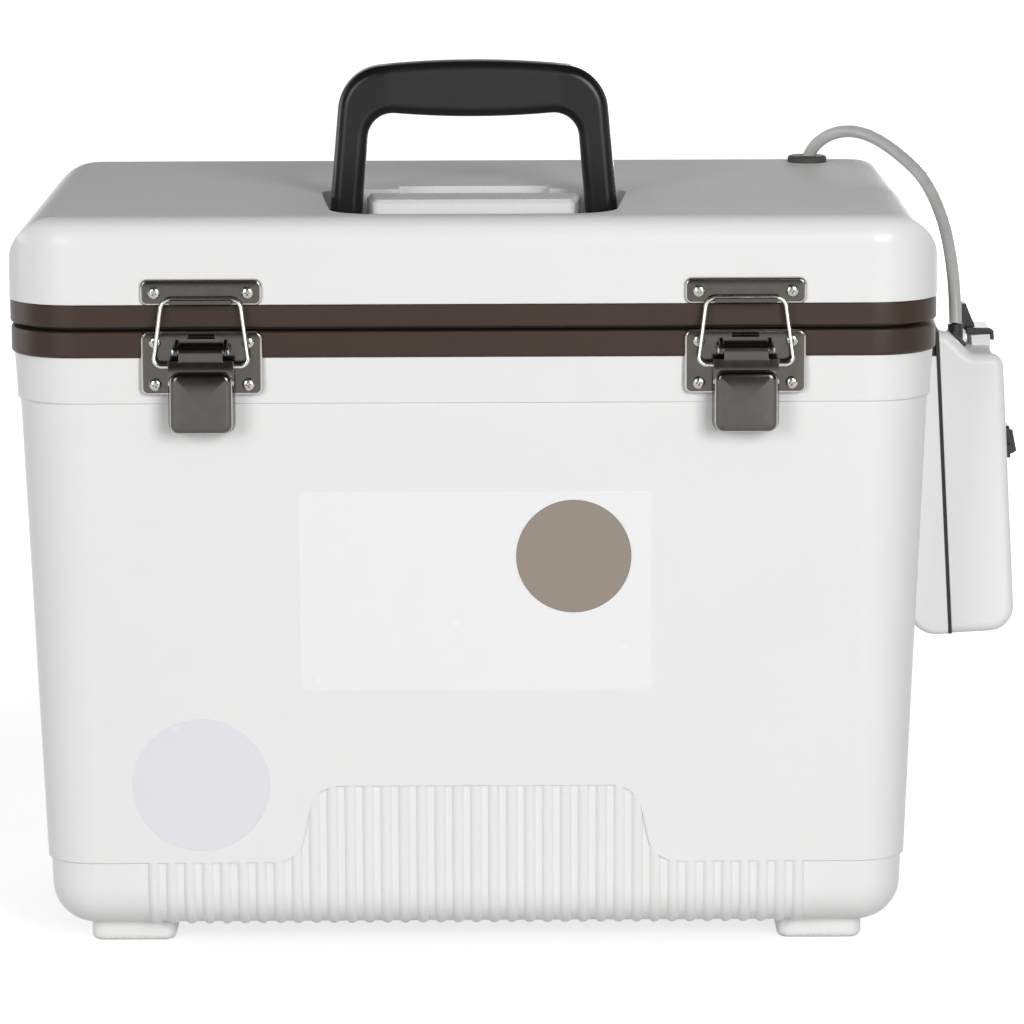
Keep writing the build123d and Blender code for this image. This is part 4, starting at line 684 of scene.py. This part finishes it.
# ---------------------------------------------------------------- hose inside the case
# Below the lid the same hose hangs to near the floor of the liner, and ends in a blue-grey
# air stone of sintered grains.
inner_route = [(0.1669, 0.109, 0.3458), (0.151, 0.0885, 0.293), (0.138, 0.0705, 0.238),
               (0.142, 0.074, 0.18), (0.142, 0.074, 0.124)]
line = flexed(inner_route)
inner_hose = hose("inner_hose_run", line)
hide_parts("inner_air_hose")
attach(inner_hose, "lid")
air_grains, place = new_finish("air_grains")
grains = place.node("ShaderNodeTexVoronoi", {}, {"Vector": place, "Scale": 1400.0})
place.surface({
    "Base Color": grains.rise(0.0, 0.8).tint((0.06, 0.1, 0.16), (0.16, 0.23, 0.32)),
    "Roughness": 0.9,
    "Normal": grains.bump(0.0004),
})
coat(air_grains, "air_stone")

# ---------------------------------------------------------------- grommet
# A dark taupe rubber grommet is snapped into the lid's top and grips the hose.
coat(rubber("grommet_rubber", (0.06, 0.05, 0.043), 0.0008), "hose_grommet")

# ---------------------------------------------------------------- floor and light
# The box stands on a plain white floor in a white studio, lit from the front by two large soft
# lamps, with weaker ones behind it and on its left. Its metal mirrors a white wall behind it,
# the dark side of the room in front of it and a dark ceiling.
floor = link("floor", bpy.data.meshes.new("floor"))
sheet = bmesh.new()
bmesh.ops.create_grid(sheet, x_segments=40, y_segments=40, size=15.0)
sheet.to_mesh(floor.data)
sheet.free()
floor_white, place = new_finish("floor_white")
seen = place.rays("Is Camera Ray", "Is Glossy Ray", "Is Transmission Ray")
far_off = (place.along("X") ** 2 + place.along("Y") ** 2).rise(0.12, 0.7)
place.surface({
    "Base Color": far_off.tint((0.5, 0.5, 0.5), (0.25, 0.25, 0.25)),
    "Roughness": 0.6,
    "Specular IOR Level": 0.15,
    "Emission Color": (seen * (0.72 + 0.28 * far_off)).tint((0, 0, 0), (1, 1, 1)),
    "Emission Strength": 1.0,
})
floor.data.materials.append(floor_white)

world = bpy.data.worlds.new("studio")
world.use_nodes = True
world.node_tree.nodes.clear()
bpy.context.scene.world = world
sky = Wire(world.node_tree)
shown = sky.rays("Is Camera Ray")
mirror = sky.rays("Is Glossy Ray", "Is Transmission Ray")
heading = sky.node("ShaderNodeTexCoord", output="Generated")
behind = heading.along("Y").rise(-0.5, 0.3)
ceiling = heading.along("Z").rise(0.35, 0.75)
cards, dim = (behind * (1 - ceiling)).tint((0.04, 0.04, 0.04), (1, 1, 1)), (0.22, 0.22, 0.22)
background = sky.node("ShaderNodeBackground", {}, {"Color": shown.tint(mirror.tint(dim, cards), (1, 1, 1))})
sky.node("ShaderNodeOutputWorld", {}, {"Surface": background})


def lamp(name, place, target, width, height, power):
    """A soft box at `place`, turned to `target`."""
    light = bpy.data.lights.new(name, "AREA")
    light.shape, light.size, light.size_y, light.energy = "RECTANGLE", width, height, power
    holder = bpy.data.objects.new(name, light)
    bpy.context.collection.objects.link(holder)
    holder.location = place
    holder.rotation_euler = (Vector(target) - Vector(place)).to_track_quat("-Z", "Y").to_euler()


lamp("key_lamp", (1.1, -2.6, 1.0), (0, 0, 0.25), 1.0, 1.2, 44)
lamp("fill_lamp", (-1.3, -2.5, 0.9), (0, 0, 0.25), 1.0, 1.2, 23)
lamp("back_lamp", (0.9, 2.8, 0.5), (0, 0, 0.2), 1.4, 0.8, 30)
lamp("side_lamp", (-2.8, 0.5, 0.6), (0, 0, 0.2), 1.0, 1.0, 12)
bpy.context.scene.view_settings.view_transform = "Standard"
